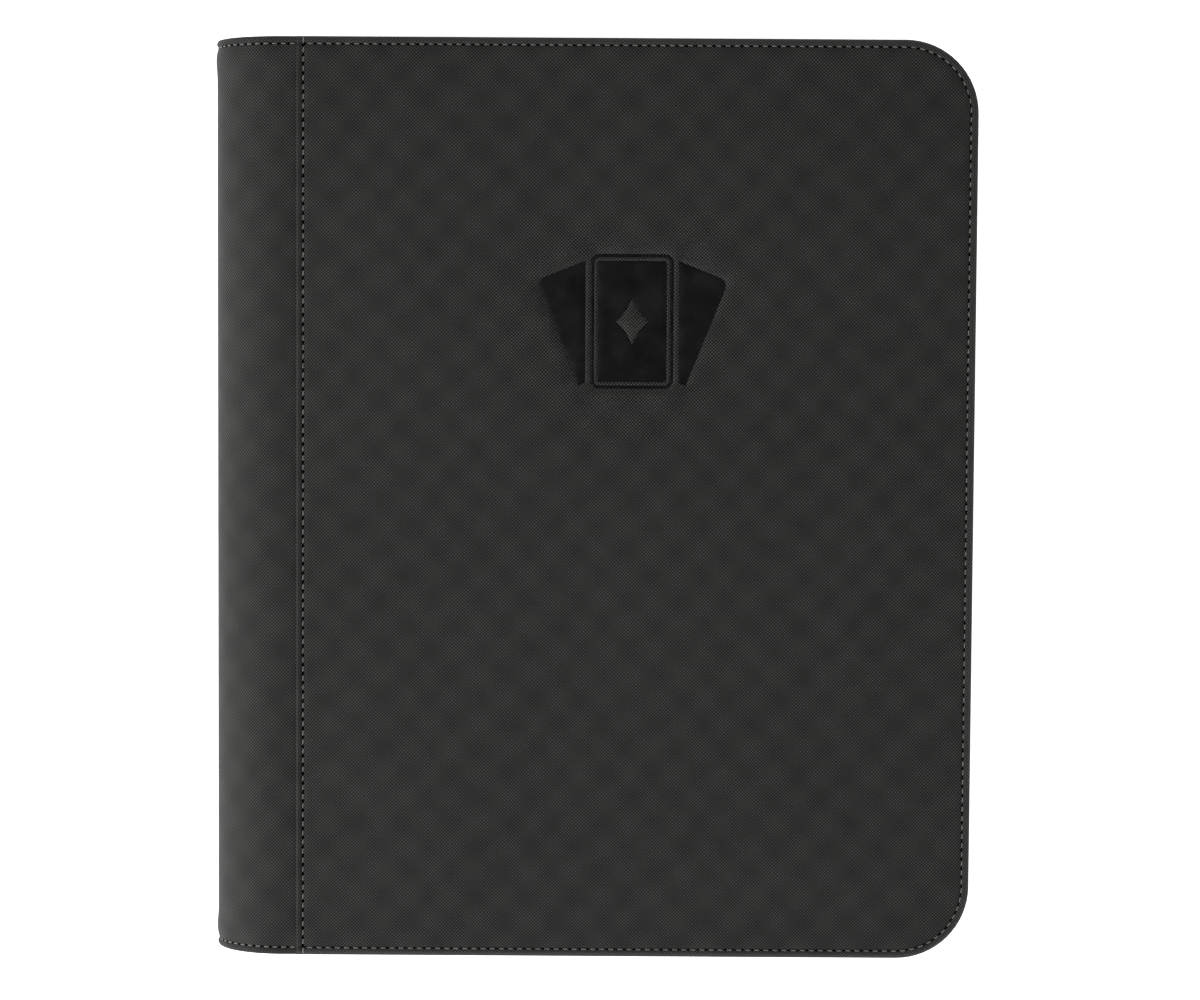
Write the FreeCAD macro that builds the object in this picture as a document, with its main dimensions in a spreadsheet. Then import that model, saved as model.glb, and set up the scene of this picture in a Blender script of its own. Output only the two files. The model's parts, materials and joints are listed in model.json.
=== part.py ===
"""Zip-round trading card binder, closed, lying on its back cover.

Frame: +Z up, +Y towards the head of the covers, the spine on the -X side. The origin is the
middle of the back cover's outer face, on the surface that the binder rests on.
"""

import FreeCAD, Part
import math
import os

import Sketcher

Vector = FreeCAD.Vector

# ---------------------------------------------------------------- driving dimensions

DIMENSIONS = [
    # alias, millimetres or degrees, note
    ("cover_height", 340.0, "head to tail of the covers"),
    ("binder_thickness", 44.0, "outer face to outer face when closed"),
    ("fore_edge", 141.0, "origin to the opening edge of the covers"),
    ("spine_edge", 141.0, "origin to the outermost face of the spine"),
    ("corner_radius", 27.0, "outer corners that the zip runs round"),
    ("seam_line", 112.0, "origin to the folded edge of each cover panel"),
    ("flap_overlap", 6.0, "spine fabric tucked under the cover panel"),
    ("fabric_gauge", 0.9, "outer woven fabric"),
    ("foam_gauge", 2.0, "padding over the cover board"),
    ("board_gauge", 1.6, "stiffener board"),
    ("lining_gauge", 0.6, "inner lining"),
    ("spine_foam_gauge", 1.5, "padding inside the spine"),
    ("hem_width", 4.2, "turned edge of the cover panel"),
    ("hem_depth", 3.0, "thickness of the turned edge"),
    ("layer_gap", 0.2, "air left beside the hem and the tape"),
    ("fold_gap", 0.75, "half the gap between two spine strips at their fold"),
    ("outer_bend", 20.0, "fold between a cover and the spine"),
    ("middle_bend", 30.0, "fold between an outer strip and the next"),
    ("inner_bend", 40.0, "fold beside the middle strip"),
    ("tape_gauge", 0.6, "zip tape"),
    ("tape_inset", 6.7, "cover edge to the outer face of the upright tape"),
    ("tape_margin", 1.0, "cover edge to the sewn edge of the tape"),
    ("tape_end", 110.0, "origin to the spine end of the tape"),
    ("tape_to_middle", 1.7, "tape edge to the middle of the closed chain"),
    ("coil_gauge", 2.0, "coil thickness outside the tape"),
    ("coil_width", 2.7, "one coil row across the chain"),
    ("coil_gap", 0.8, "gap between the rows for the slider's wedge"),
    ("coil_end", 104.0, "origin to the spine end of the coil"),
    ("coil_start_front", 95.5, "origin to the front coil's end at the tail"),
    ("stop_length", 1.4, "zip stop along the tape"),
    ("slider_end", 108.0, "origin to the slider's leading end at rest"),
    ("slider_length", 12.0, "slider along the chain"),
    ("slider_width", 9.0, "slider across the chain"),
    ("slider_plate", 1.2, "outer plate of the slider"),
    ("slider_back_plate", 0.9, "inner plate of the slider"),
    ("slider_clear", 0.2, "running clearance of the slider"),
    ("slider_flange", 1.1, "turned flange of the slider"),
    ("wedge_length", 3.0, "post that joins the two plates"),
    ("wedge_gauge", 0.5, "thickness of that post between the rows"),
    ("bridge_length", 8.0, "loop on the slider that holds the pull"),
    ("bridge_width", 1.6, "width of that loop"),
    ("bridge_height", 2.2, "height of that loop"),
    ("bridge_slot", 1.2, "clear height under the loop"),
    ("pull_axis", 100.0, "origin to the pull's pivot at rest"),
    ("pull_drop", 0.6, "slider face to the pull's pivot"),
    ("link_wire", 0.9, "diameter of the link's wire"),
    ("link_reach", 6.5, "pivot to the link's far bar"),
    ("link_width", 5.4, "link across the chain"),
    ("tab_length", 26.0, "moulded pull tab"),
    ("tab_width", 7.0, "pull tab across the chain"),
    ("tab_gauge", 1.5, "pull tab thickness"),
    ("tab_root", 0.9, "link's far bar to the broad part of the tab"),
    ("eye_radius", 1.15, "eye of the tab round the far bar"),
    ("eye_width", 3.0, "eye across the chain, between the link's arms"),
    ("eye_clear", 0.1, "running clearance of the eye on the bar"),
    ("page_height", 296.0, "page head to tail"),
    ("page_edge", 116.0, "origin to the free edge of the pages"),
    ("page_gauge", 0.36, "one nine-pocket sheet"),
    ("page_pitch", 0.9, "sheet to sheet at the binding"),
    ("page_clear", 0.5, "binding to the sheet's edge"),
    ("binding_length", 300.0, "binding block head to tail"),
    ("binding_root", 4.6, "spine lining to the shoulder of the block"),
    ("binding_shoulder", 13.4, "spine lining to where the block's nose starts"),
    ("binding_nose", 21.1, "spine lining to the tip of the block's nose"),
    ("binding_half", 9.3, "half the thickness of the block"),
    ("neck_half", 4.5, "half the thickness of its sewn neck"),
    ("wrap_gauge", 0.5, "fabric round the binding block"),
    ("emblem_x", 14.3, "emblem centre towards the fore edge"),
    ("emblem_y", 66.3, "emblem centre towards the head"),
    ("card_width", 31.0, "one card of the emblem"),
    ("card_height", 50.0, "one card of the emblem"),
    ("card_corner", 3.5, "corner radius of a card"),
    ("card_fan", 22.0, "turn of each outer card"),
    ("card_pivot", 32.0, "card centre down to the point the fan turns about"),
    ("card_gap", 1.4, "bare fabric between the cards"),
    ("card_frame", 1.8, "printed rim of the middle card"),
    ("diamond_width", 11.0, "bare diamond in the middle card"),
    ("diamond_height", 16.0, "bare diamond in the middle card"),
    ("emblem_depth", 0.6, "how far the emblem is pressed into the fabric"),
    ("emblem_gauge", 0.35, "pressed film"),
]
PAGES_PER_SIDE = 10
STRIP_COUNT = 5
SIDES = ("back", "front")

doc = FreeCAD.newDocument("trading_card_binder")
sheet = doc.addObject("Spreadsheet::Sheet", "Sheet")
for row, (alias, value, note) in enumerate(DIMENSIONS, start=1):
    sheet.set(f"A{row}", note)
    sheet.set(f"B{row}", str(value))
    sheet.setAlias(f"B{row}", alias)
doc.recompute()
SIZE = {alias: float(sheet.get(alias)) for alias, _, _ in DIMENSIONS}

parts = []


def cells(formula):
    """The formula with each alias written as a cell of the sheet."""
    out, word = "", ""
    for letter in formula + " ":
        if letter.isalnum() or letter == "_":
            word += letter
            continue
        out += f"Sheet.{word}" if word in SIZE else word
        out += letter
        word = ""
    return out.strip()


def number(formula):
    """The formula's value in millimetres."""
    value = sheet.evalExpression(cells(formula))
    return float(getattr(value, "Value", value))


def bind(obj, **formulas):
    """Binds properties to the sheet; a double underscore in a name stands for a dot."""
    for name, formula in formulas.items():
        obj.setExpression(name.replace("__", "."), cells(formula))


def keep(obj, node):
    """Marks obj as a sub-part, and names the file it is written to."""
    obj.Label = node
    parts.append(obj)
    return obj


# ---------------------------------------------------------------- sketches and bodies


def new_body(name):
    return doc.addObject("PartDesign::Body", name)


def plane_of(body, role):
    return next(f for f in body.Origin.OriginFeatures if f.Role == role)


def new_sketch(body, name, role="XY_Plane", offset="0"):
    sketch = body.newObject("Sketcher::SketchObject", name)
    sketch.AttachmentSupport = [(plane_of(body, role), "")]
    sketch.MapMode = "FlatFace"
    bind(sketch, AttachmentOffset__Base__z=offset)
    return sketch


def cover_outline(body, name, left, inset, height):
    """The cover's outline drawn in by inset, cut off square at left, on a plane at height."""
    sketch = new_sketch(body, name, offset=height)
    x0, x1 = -number(left), number(f"fore_edge - ({inset})")
    half = number(f"cover_height / 2 - ({inset})")
    radius = number(f"corner_radius - ({inset})")
    turn = math.pi / 2
    points = [(x0, -half), (x1 - radius, -half), (x1, radius - half)]
    points += [(x, -y) for x, y in reversed(points)]
    tail, fore_lo, fore_in, fore_hi, head, head_in = (Vector(x, y, 0) for x, y in points)
    up, axis = Vector(0, radius, 0), Vector(0, 0, 1)
    lines = [(tail, fore_lo), (fore_in, fore_hi), (head, head_in), (head_in, tail)]
    for start, end in lines:
        sketch.addGeometry(Part.LineSegment(start, end), False)
    for centre, start in ((fore_lo + up, -turn), (head - up, 0.0)):
        circle = Part.Circle(centre, axis, radius)
        sketch.addGeometry(Part.ArcOfCircle(circle, start, start + turn), False)
    bottom, right, top, side, tail_arc, head_arc = range(6)
    constrain = sketch.addConstraint
    constrain(Sketcher.Constraint("Tangent", bottom, 2, tail_arc, 1))
    constrain(Sketcher.Constraint("Tangent", tail_arc, 2, right, 1))
    constrain(Sketcher.Constraint("Tangent", right, 2, head_arc, 1))
    constrain(Sketcher.Constraint("Tangent", head_arc, 2, top, 1))
    constrain(Sketcher.Constraint("Coincident", top, 2, side, 1))
    constrain(Sketcher.Constraint("Coincident", side, 2, bottom, 1))
    constrain(Sketcher.Constraint("Horizontal", bottom))
    constrain(Sketcher.Constraint("Vertical", right))
    constrain(Sketcher.Constraint("Horizontal", top))
    constrain(Sketcher.Constraint("Symmetric", side, 1, side, 2, -1))
    constrain(Sketcher.Constraint("Equal", tail_arc, head_arc))
    sizes = [
        (Sketcher.Constraint("Radius", tail_arc, radius), f"corner_radius - ({inset})"),
        (Sketcher.Constraint("DistanceX", side, 1, -1, 1, -x0), left),
        (Sketcher.Constraint("DistanceX", -1, 1, right, 1, x1), f"fore_edge - ({inset})"),
        (Sketcher.Constraint("DistanceY", -1, 1, side, 1, half), f"cover_height / 2 - ({inset})"),
    ]
    for constraint, formula in sizes:
        index = constrain(constraint)
        sketch.setExpression(f"Constraints[{index}]", cells(formula))
    return sketch


def polygon(body, name, role, offset, corners):
    """A closed polygon whose corners are formulas from the sketch's origin, all bound."""
    sketch = new_sketch(body, name, role, offset)
    spots = [Vector(number(x), number(y), 0) for x, y in corners]
    count = len(spots)
    for i, spot in enumerate(spots):
        sketch.addGeometry(Part.LineSegment(spot, spots[(i + 1) % count]), False)
    for i in range(count):
        sketch.addConstraint(Sketcher.Constraint("Coincident", i, 2, (i + 1) % count, 1))
    for i, (spot, formulas) in enumerate(zip(spots, corners)):
        for kind, value, formula in zip(("DistanceX", "DistanceY"), spot, formulas):
            if abs(value) < 1e-9:
                raise ValueError(f"{name}: a corner lies on an axis")
            ends = (-1, 1, i, 1) if value > 0 else (i, 1, -1, 1)
            index = sketch.addConstraint(Sketcher.Constraint(kind, *ends, abs(value)))
            signed = formula if value > 0 else f"-({formula})"
            sketch.setExpression(f"Constraints[{index}]", cells(signed))
    return sketch


def pad(body, sketch, length, both_ways=False):
    feature = body.newObject("PartDesign::Pad", sketch.Name + "_pad")
    feature.Profile = sketch
    feature.Midplane = both_ways
    bind(feature, Length=length)
    sketch.Visibility = False
    return feature


def pocket(body, sketch, depth):
    feature = body.newObject("PartDesign::Pocket", sketch.Name + "_pocket")
    feature.Profile = sketch
    bind(feature, Length=depth)
    return feature


def turn_over(obj):
    """Turns a back cover's piece about the X axis into the front cover's."""
    obj.Placement = FreeCAD.Placement(Vector(), FreeCAD.Rotation(Vector(1, 0, 0), 180))
    bind(obj, Placement__Base__z="binder_thickness")


def box(name, length, width, height, x, y, z):
    """A Part box whose sizes and corner are all formulas."""
    block = doc.addObject("Part::Box", name)
    bind(block, Length=length, Width=width, Height=height)
    bind(block, Placement__Base__x=x, Placement__Base__y=y, Placement__Base__z=z)
    return block


def fuse(name, *shapes):
    joined = doc.addObject("Part::MultiFuse", name)
    joined.Shapes = list(shapes)
    joined.Refine = True
    return joined


def cut(name, base, tool):
    result = doc.addObject("Part::Cut", name)
    result.Base, result.Tool = base, tool
    return result


# ---------------------------------------------------------------- the covers

BOARD_INSET = "tape_inset + tape_gauge + 2 * layer_gap"
BOARD_LEFT = "seam_line - flap_overlap - layer_gap"
BOARD_BASE = "fabric_gauge + foam_gauge"
LINING_BASE = "fabric_gauge + foam_gauge + board_gauge"
STRIP_GAUGE = "fabric_gauge + spine_foam_gauge + lining_gauge"
AXIS_INSET = f"fabric_gauge + ({STRIP_GAUGE}) / 2"
STRIP_LENGTH = (
    f"(binder_thickness - 2 * ({AXIS_INSET}))"
    " / (1 + 2 * sin(outer_bend * 1deg) + 2 * sin((outer_bend + middle_bend) * 1deg))"
)
STRIP_REACH = "(cos(outer_bend * 1deg) + cos((outer_bend + middle_bend) * 1deg))"
FIRST_FOLD = f"spine_edge - ({STRIP_GAUGE}) / 2 - ({STRIP_LENGTH}) * {STRIP_REACH}"
FLAP_END = f"{FIRST_FOLD} - fold_gap"


def panel_fabric(side):
    """The woven cover panel, with its edge turned in on three sides."""
    body = new_body(f"{side}_panel")
    pad(body, cover_outline(body, f"{side}_panel_outline", "seam_line", "0", "0"), "hem_depth")
    inside = cover_outline(
        body, f"{side}_panel_inside", "seam_line + 1", "hem_width", "hem_depth"
    )
    pocket(body, inside, "hem_depth - fabric_gauge")
    return body


def cover_foam(side):
    """Padding over the board, and thinner under the spine fabric's flap."""
    body = new_body(f"{side}_foam_body")
    inset = "hem_width + layer_gap"
    field = cover_outline(body, f"{side}_foam_outline", BOARD_LEFT, inset, "fabric_gauge")
    pad(body, field, "foam_gauge")
    height = "2 * fabric_gauge"
    flap = slab(body, f"{side}_foam_flap", FLAP_END, BOARD_LEFT, height, BOARD_INSET)
    pad(body, flap, "spine_foam_gauge")
    return body


def slab(body, name, left, right, height, inset="0"):
    """A plain rectangle from left to right (both on the -X side), the height of the cover."""
    half = f"cover_height / 2 - ({inset})"
    corners = [
        (f"-({left})", f"-({half})"),
        (f"-({right})", f"-({half})"),
        (f"-({right})", half),
        (f"-({left})", half),
    ]
    return polygon(body, name, "XY_Plane", height, corners)


def cover_board(side):
    body = new_body(f"{side}_board_body")
    outline = cover_outline(body, f"{side}_board_outline", BOARD_LEFT, BOARD_INSET, BOARD_BASE)
    pad(body, outline, "board_gauge")
    return body


def cover_lining(side):
    """Lining over the board, stepping down over the board's edge into the spine."""
    body = new_body(f"{side}_lining_body")
    step = f"({BOARD_LEFT}) + lining_gauge"
    low = "2 * fabric_gauge + spine_foam_gauge"
    field = cover_outline(body, f"{side}_lining_outline", step, BOARD_INSET, LINING_BASE)
    pad(body, field, "lining_gauge")
    riser = slab(body, f"{side}_lining_riser", step, BOARD_LEFT, low, BOARD_INSET)
    pad(body, riser, f"{LINING_BASE} + lining_gauge - ({low})")
    flap = slab(body, f"{side}_lining_flap", FLAP_END, BOARD_LEFT, low, BOARD_INSET)
    pad(body, flap, "lining_gauge")
    return body


def spine_flap(side):
    """The spine fabric's margin, which runs on under the cover panel's folded edge."""
    body = new_body(f"{side}_flap_body")
    step, tucked = "seam_line + layer_gap", "seam_line - flap_overlap"
    shown = slab(body, f"{side}_flap", FLAP_END, step, "fabric_gauge")
    pad(body, shown, "fabric_gauge")
    inset = "hem_width + layer_gap"
    under = slab(body, f"{side}_flap_under", step, tucked, "fabric_gauge", inset)
    pad(body, under, "fabric_gauge")
    return body


def runs(name, body):
    """A U-shaped piece as its three straight runs and two corners, one solid each."""
    straight_x, straight_y = "fore_edge - corner_radius", "cover_height / 2 - corner_radius"
    long_x, across_y = f"tape_end + {straight_x}", f"2 * ({straight_y})"
    spans = {
        "tail": (long_x, "corner_radius", "-tape_end", "-cover_height / 2"),
        "tail_corner": ("corner_radius", "corner_radius", straight_x, "-cover_height / 2"),
        "fore": ("corner_radius", across_y, straight_x, f"-({straight_y})"),
        "head_corner": ("corner_radius", "corner_radius", straight_x, straight_y),
        "head": (long_x, "corner_radius", "-tape_end", straight_y),
    }
    pieces = []
    for tag, (length, width, x, y) in spans.items():
        piece = doc.addObject("Part::Common", f"{name}_{tag}")
        piece.Base = body
        piece.Tool = box(f"{name}_{tag}_span", length, width, "binder_thickness / 2", x, y, "0")
        pieces.append(piece)
    group = doc.addObject("Part::Compound", f"{name}_runs")
    group.Links = pieces
    return group


def zip_tape(side):
    """One half of the zip tape: a margin sewn to the hem, and an upright to the chain."""
    body = new_body(f"{side}_tape_body")
    top = "binder_thickness / 2 - tape_to_middle"
    margin = cover_outline(body, f"{side}_tape_margin", "tape_end", "tape_margin", "hem_depth")
    pad(body, margin, "tape_gauge")
    rise = cover_outline(body, f"{side}_tape_rise", "tape_end", "tape_inset", "hem_depth")
    pad(body, rise, f"{top} - hem_depth")
    inset = "tape_inset + tape_gauge"
    hollow = cover_outline(body, f"{side}_tape_hollow", "tape_end + 1", inset, top)
    pocket(body, hollow, f"{top} - hem_depth")
    return runs(f"{side}_tape", body)


def zip_coil(side):
    """One row of the coil, as its envelope, outside the tape."""
    body = new_body(f"{side}_coil_body")
    top = "binder_thickness / 2 - coil_gap / 2"
    outer_inset = "tape_inset - coil_gauge"
    base = f"{top} - coil_width"
    outer = cover_outline(body, f"{side}_coil_outer", "coil_end", outer_inset, base)
    pad(body, outer, "coil_width")
    inner = cover_outline(body, f"{side}_coil_inner", "coil_end + 1", "tape_inset", top)
    pocket(body, inner, "coil_width")
    return runs(f"{side}_coil", body)


def zip_stops(side):
    """A crimped stop on the tape at each end of the coil row."""
    base = "binder_thickness / 2 - coil_gap / 2 - coil_width"
    reach = "cover_height / 2 - tape_inset"
    blocks = []
    for end, y in (("tail", f"-({reach} + coil_gauge)"), ("head", reach)):
        spot = ("-tape_end", y, base)
        blocks.append(
            box(f"{side}_stop_{end}", "stop_length", "coil_gauge", "coil_width - 0.3", *spot)
        )
    return fuse(f"{side}_stops_fused", *blocks)


def build_cover(side):
    pieces = {
        "panel_fabric": panel_fabric(side),
        "foam": cover_foam(side),
        "board": cover_board(side),
        "lining": cover_lining(side),
        "spine_flap": spine_flap(side),
        "zip_tape": zip_tape(side),
        "zip_coil": zip_coil(side),
        "zip_stops": zip_stops(side),
    }
    if side == "front":
        for piece in pieces.values():
            turn_over(piece)
        pieces["zip_coil"] = cut("front_coil_trimmed", pieces["zip_coil"], coil_trim())
        pieces["panel_fabric"] = cut(
            "front_panel_pressed", pieces["panel_fabric"], emblem("recess", "emblem_depth")
        )
    for name, piece in pieces.items():
        keep(piece, f"{side}_{name}")


def coil_trim():
    """Clears the front row out of the slider where it parks, at the tail end."""
    length = "coil_end - coil_start_front + 1"
    corner = ("-(coil_end + 1)", "-(cover_height / 2)", "binder_thickness / 2")
    return box("coil_trim_block", length, "tape_inset + 1", "coil_width + 1", *corner)


# ---------------------------------------------------------------- the emblem


def card_body(name, width, height, corner, depth, turn):
    """A rounded card, its top at the cover's face, turned about the fan's pivot."""
    base = "binder_thickness - emblem_depth"
    block = box(
        name, width, height, depth, f"-({width}) / 2", f"card_pivot - ({height}) / 2", "0"
    )
    doc.recompute()
    rounded = doc.addObject("Part::Fillet", name + "_rounded")
    rounded.Base = block
    radius = number(corner)
    rounded.Edges = [
        (i, radius, radius)
        for i, edge in enumerate(block.Shape.Edges, start=1)
        if abs(edge.tangentAt(edge.FirstParameter).z) > 0.9
    ]
    rounded.Placement = FreeCAD.Placement(Vector(), FreeCAD.Rotation(Vector(0, 0, 1), turn))
    bind(
        rounded,
        Placement__Base__x="emblem_x",
        Placement__Base__y="emblem_y - card_pivot",
        Placement__Base__z=base,
    )
    return rounded


def diamond(name, depth):
    """The bare diamond in the middle card."""
    body = new_body(name)
    half_x, half_y = "diamond_width / 2", "diamond_height / 2"
    corners = [
        (f"emblem_x - {half_x}", "emblem_y"),
        ("emblem_x", f"emblem_y - {half_y}"),
        (f"emblem_x + {half_x}", "emblem_y"),
        ("emblem_x", f"emblem_y + {half_y}"),
    ]
    sketch = polygon(body, name + "_shape", "XY_Plane", "binder_thickness - emblem_depth", corners)
    pad(body, sketch, depth)
    return body


def emblem(name, depth):
    """Three fanned blank cards, the middle one with a rim and a bare diamond."""

    def card(tag, shrink, turn):
        return card_body(
            f"{name}_{tag}",
            f"card_width - 2 * ({shrink})",
            f"card_height - 2 * ({shrink})",
            f"card_corner - ({shrink})",
            depth,
            turn,
        )

    pieces = []
    for tag, turn in (("left", SIZE["card_fan"]), ("right", -SIZE["card_fan"])):
        outer = card(f"{tag}_card", "0", turn)
        clear = card(f"{tag}_clear", "-card_gap", 0)
        pieces.append(cut(f"{name}_{tag}_piece", outer, clear))
    rim = card("rim", "0", 0)
    rim_hole = card("rim_hole", "card_frame", 0)
    pieces.append(cut(f"{name}_rim_piece", rim, rim_hole))
    face = card("face", "card_frame + card_gap / 2", 0)
    pieces.append(cut(f"{name}_face_piece", face, diamond(f"{name}_diamond", depth)))
    group = doc.addObject("Part::Compound", name + "_cards")
    group.Links = pieces
    return group


# ---------------------------------------------------------------- the spine


def strip_angles():
    """The direction of each spine strip, from the back cover round to the front one."""
    outer = SIZE["outer_bend"]
    second = outer + SIZE["middle_bend"]
    return [outer, second, 90.0, 180.0 - second, 180.0 - outer]


def fold_lines():
    """(x, z) of the six folds, from the back cover's to the front cover's."""
    x, z = -number(FIRST_FOLD), number(AXIS_INSET)
    length = number(STRIP_LENGTH)
    folds = [(x, z)]
    for angle in strip_angles():
        x -= length * math.cos(math.radians(angle))
        z += length * math.sin(math.radians(angle))
        folds.append((x, z))
    return folds


def spine_strip(index, angle, fold):
    """Fabric, padding and lining of one strip of the spine, laid between two folds."""
    turned = math.radians(angle)
    along = Vector(-math.cos(turned), 0, math.sin(turned))
    outward = Vector(-math.sin(turned), 0, -math.cos(turned))
    half = number(STRIP_GAUGE) / 2
    layers = [
        ("lining", "lining_gauge", -half),
        ("foam", "spine_foam_gauge", -half + SIZE["lining_gauge"]),
        ("fabric", "fabric_gauge", half - SIZE["fabric_gauge"]),
    ]
    for layer, gauge, start in layers:
        strip = doc.addObject("Part::Box", f"spine_{layer}_{index}")
        bind(strip, Length=f"{STRIP_LENGTH} - 2 * fold_gap", Height=gauge)
        bind(strip, Width="cover_height")
        corner = Vector(fold[0], -SIZE["cover_height"] / 2, fold[1])
        corner += along * SIZE["fold_gap"] + outward * start
        spin = FreeCAD.Rotation(Vector(0, 1, 0), 180 + angle)
        strip.Placement = FreeCAD.Placement(corner, spin)
        keep(strip, f"spine_{layer}_{index}")


# ---------------------------------------------------------------- the pages

SPINE_INSIDE = f"spine_edge - ({STRIP_GAUGE})"


def profile_body(name, offsets, length):
    """A prism along Y from (distance off the spine's lining, height off the middle) pairs."""
    body = new_body(name)
    corners = [
        (f"-({SPINE_INSIDE} - ({x}))", f"binder_thickness / 2 + ({z})") for x, z in offsets
    ]
    sketch = polygon(body, name + "_profile", "XZ_Plane", "0", corners)
    pad(body, sketch, length, both_ways=True)
    return body


def mirrored(offsets):
    """The upper half of a profile, run on round its lower half."""
    return offsets + [(x, f"-({z})") for x, z in reversed(offsets)]


def page_binding():
    core = mirrored(
        [
            ("wrap_gauge", "neck_half"),
            ("binding_root + wrap_gauge", "neck_half"),
            ("binding_root + wrap_gauge", "binding_half"),
            ("binding_shoulder", "binding_half"),
            ("binding_nose", "page_pitch / 2"),
        ]
    )
    keep(profile_body("binding_core_body", core, "binding_length"), "page_binding_core")
    outer = "binding_half + wrap_gauge"
    shoulder = "binding_shoulder - 1"
    wrap = [
        ("0", "neck_half + wrap_gauge"),
        ("binding_root", "neck_half + wrap_gauge"),
        ("binding_root", outer),
        (shoulder, outer),
        (shoulder, "binding_half"),
        ("binding_root + wrap_gauge", "binding_half"),
        ("binding_root + wrap_gauge", "neck_half"),
        ("wrap_gauge", "neck_half"),
    ]
    lower = [(x, f"-({z})") for x, z in reversed(wrap)]
    keep(profile_body("binding_wrap_body", wrap + lower, "binding_length"), "page_binding_wrap")


def build_pages():
    """Twenty nine-pocket sheets, each starting off the sloping nose of the binding block."""
    nose_run = "(binding_nose - binding_shoulder) / (binding_half - page_pitch / 2)"
    for index in range(2 * PAGES_PER_SIDE):
        from_middle = PAGES_PER_SIDE - 0.5 - index
        height = f"{abs(from_middle)} * page_pitch"
        start = f"binding_shoulder + (binding_half - {height}) * {nose_run} + page_clear"
        left = f"{SPINE_INSIDE} - ({start})"
        level = f"binder_thickness / 2 - ({from_middle}) * page_pitch - page_gauge / 2"
        page = box(
            f"page_{index + 1:02d}",
            f"page_edge + {left}",
            "page_height",
            "page_gauge",
            f"-({left})",
            "-page_height / 2",
            level,
        )
        keep(page, f"page_{index + 1:02d}")


# ---------------------------------------------------------------- the slider and its pull

CHAIN_FACE = "(cover_height / 2 - tape_inset + coil_gauge)"
MIDDLE = "binder_thickness / 2"
PLATE_BACK = f"({CHAIN_FACE} + slider_clear)"
PLATE_FACE = f"({PLATE_BACK} + slider_plate)"
TAPE_INSIDE = "(cover_height / 2 - tape_inset - tape_gauge)"


def slider_body():
    """Two plates joined by a thin wedge, with flanges that hold the coil rows in."""
    left = "-slider_end"
    half = "slider_width / 2"
    depth = f"{PLATE_BACK} - (cover_height / 2 - tape_inset + slider_clear)"
    low, high = f"{MIDDLE} - {half}", f"{MIDDLE} + {half} - slider_flange"
    back = f"{TAPE_INSIDE} - slider_clear - slider_back_plate"
    plate = box(
        "slider_outer_plate",
        "slider_length",
        "slider_plate",
        "slider_width",
        left,
        f"-({PLATE_FACE})",
        low,
    )
    inner = box(
        "slider_inner_plate",
        "slider_length - 1",
        "slider_back_plate",
        "slider_width - 1",
        "0.5 - slider_end",
        f"-({back} + slider_back_plate)",
        f"{low} + 0.5",
    )
    pieces = [rounded_plate(plate, 1.8), rounded_plate(inner, 1.5)]
    for tag, z in (("low", low), ("high", high)):
        pieces.append(
            box(
                f"slider_flange_{tag}",
                "slider_length - 4",
                f"{depth} + 0.1",
                "slider_flange",
                "2 - slider_end",
                f"-({PLATE_BACK} + 0.1)",
                z,
            )
        )
    wedge = box(
        "slider_wedge",
        "wedge_length",
        f"{PLATE_BACK} - ({back}) - slider_back_plate + 0.2",
        "wedge_gauge",
        "0.8 - slider_end",
        f"-({PLATE_BACK} + 0.1)",
        f"{MIDDLE} - wedge_gauge / 2",
    )
    keep(fuse("slider_fused", *pieces, wedge), "zip_slider_body")


def rounded_plate(block, radius):
    """Rounds the four corners of a slider plate, seen from outside."""
    doc.recompute()
    rounded = doc.addObject("Part::Fillet", block.Name + "_rounded")
    rounded.Base = block
    rounded.Edges = [
        (i, radius, radius)
        for i, edge in enumerate(block.Shape.Edges, start=1)
        if abs(edge.tangentAt(edge.FirstParameter).y) > 0.9
    ]
    return rounded


def slider_bridge():
    """The arched loop on the slider's face."""
    body = new_body("bridge_body")
    x0 = "-(pull_axis + bridge_length / 2 + 0.5)"
    x1 = "-(pull_axis - bridge_length / 2 + 0.5)"
    foot, crown = f"-{PLATE_FACE}", f"-({PLATE_FACE} + bridge_height)"
    shoulder = f"-({PLATE_FACE} + bridge_height - 0.9)"
    slot = f"-({PLATE_FACE} + bridge_slot)"
    corners = [
        (x0, foot),
        (x0, shoulder),
        (f"{x0} + 1.2", crown),
        (f"{x1} - 1.2", crown),
        (x1, shoulder),
        (x1, foot),
        (f"{x1} - 1.1", foot),
        (f"{x1} - 1.1", slot),
        (f"{x0} + 1.1", slot),
        (f"{x0} + 1.1", foot),
    ]
    sketch = polygon(body, "bridge_profile", "XY_Plane", MIDDLE, corners)
    pad(body, sketch, "bridge_width", both_ways=True)
    keep(body, "zip_slider_bridge")


def pull_link():
    """A square wire link: a pivot bar under the bridge, two arms and a far bar."""
    y = f"-({PLATE_FACE} + pull_drop)"
    bars = []
    for tag, x in (("pivot", "-pull_axis"), ("far", "link_reach - pull_axis")):
        bars.append(rod(f"link_{tag}_bar", "link_wire / 2", "link_width", x, y))
    inner = f"{MIDDLE} + link_width / 2 - link_wire"
    for tag, z in (("low", f"{MIDDLE} - link_width / 2"), ("high", inner)):
        corner = ("-pull_axis", f"{y} - (link_wire - 0.2) / 2", z)
        bars.append(box(f"link_{tag}_arm", "link_reach", "link_wire - 0.2", "link_wire", *corner))
    keep(fuse("link_fused", *bars), "zip_pull_link")


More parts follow.
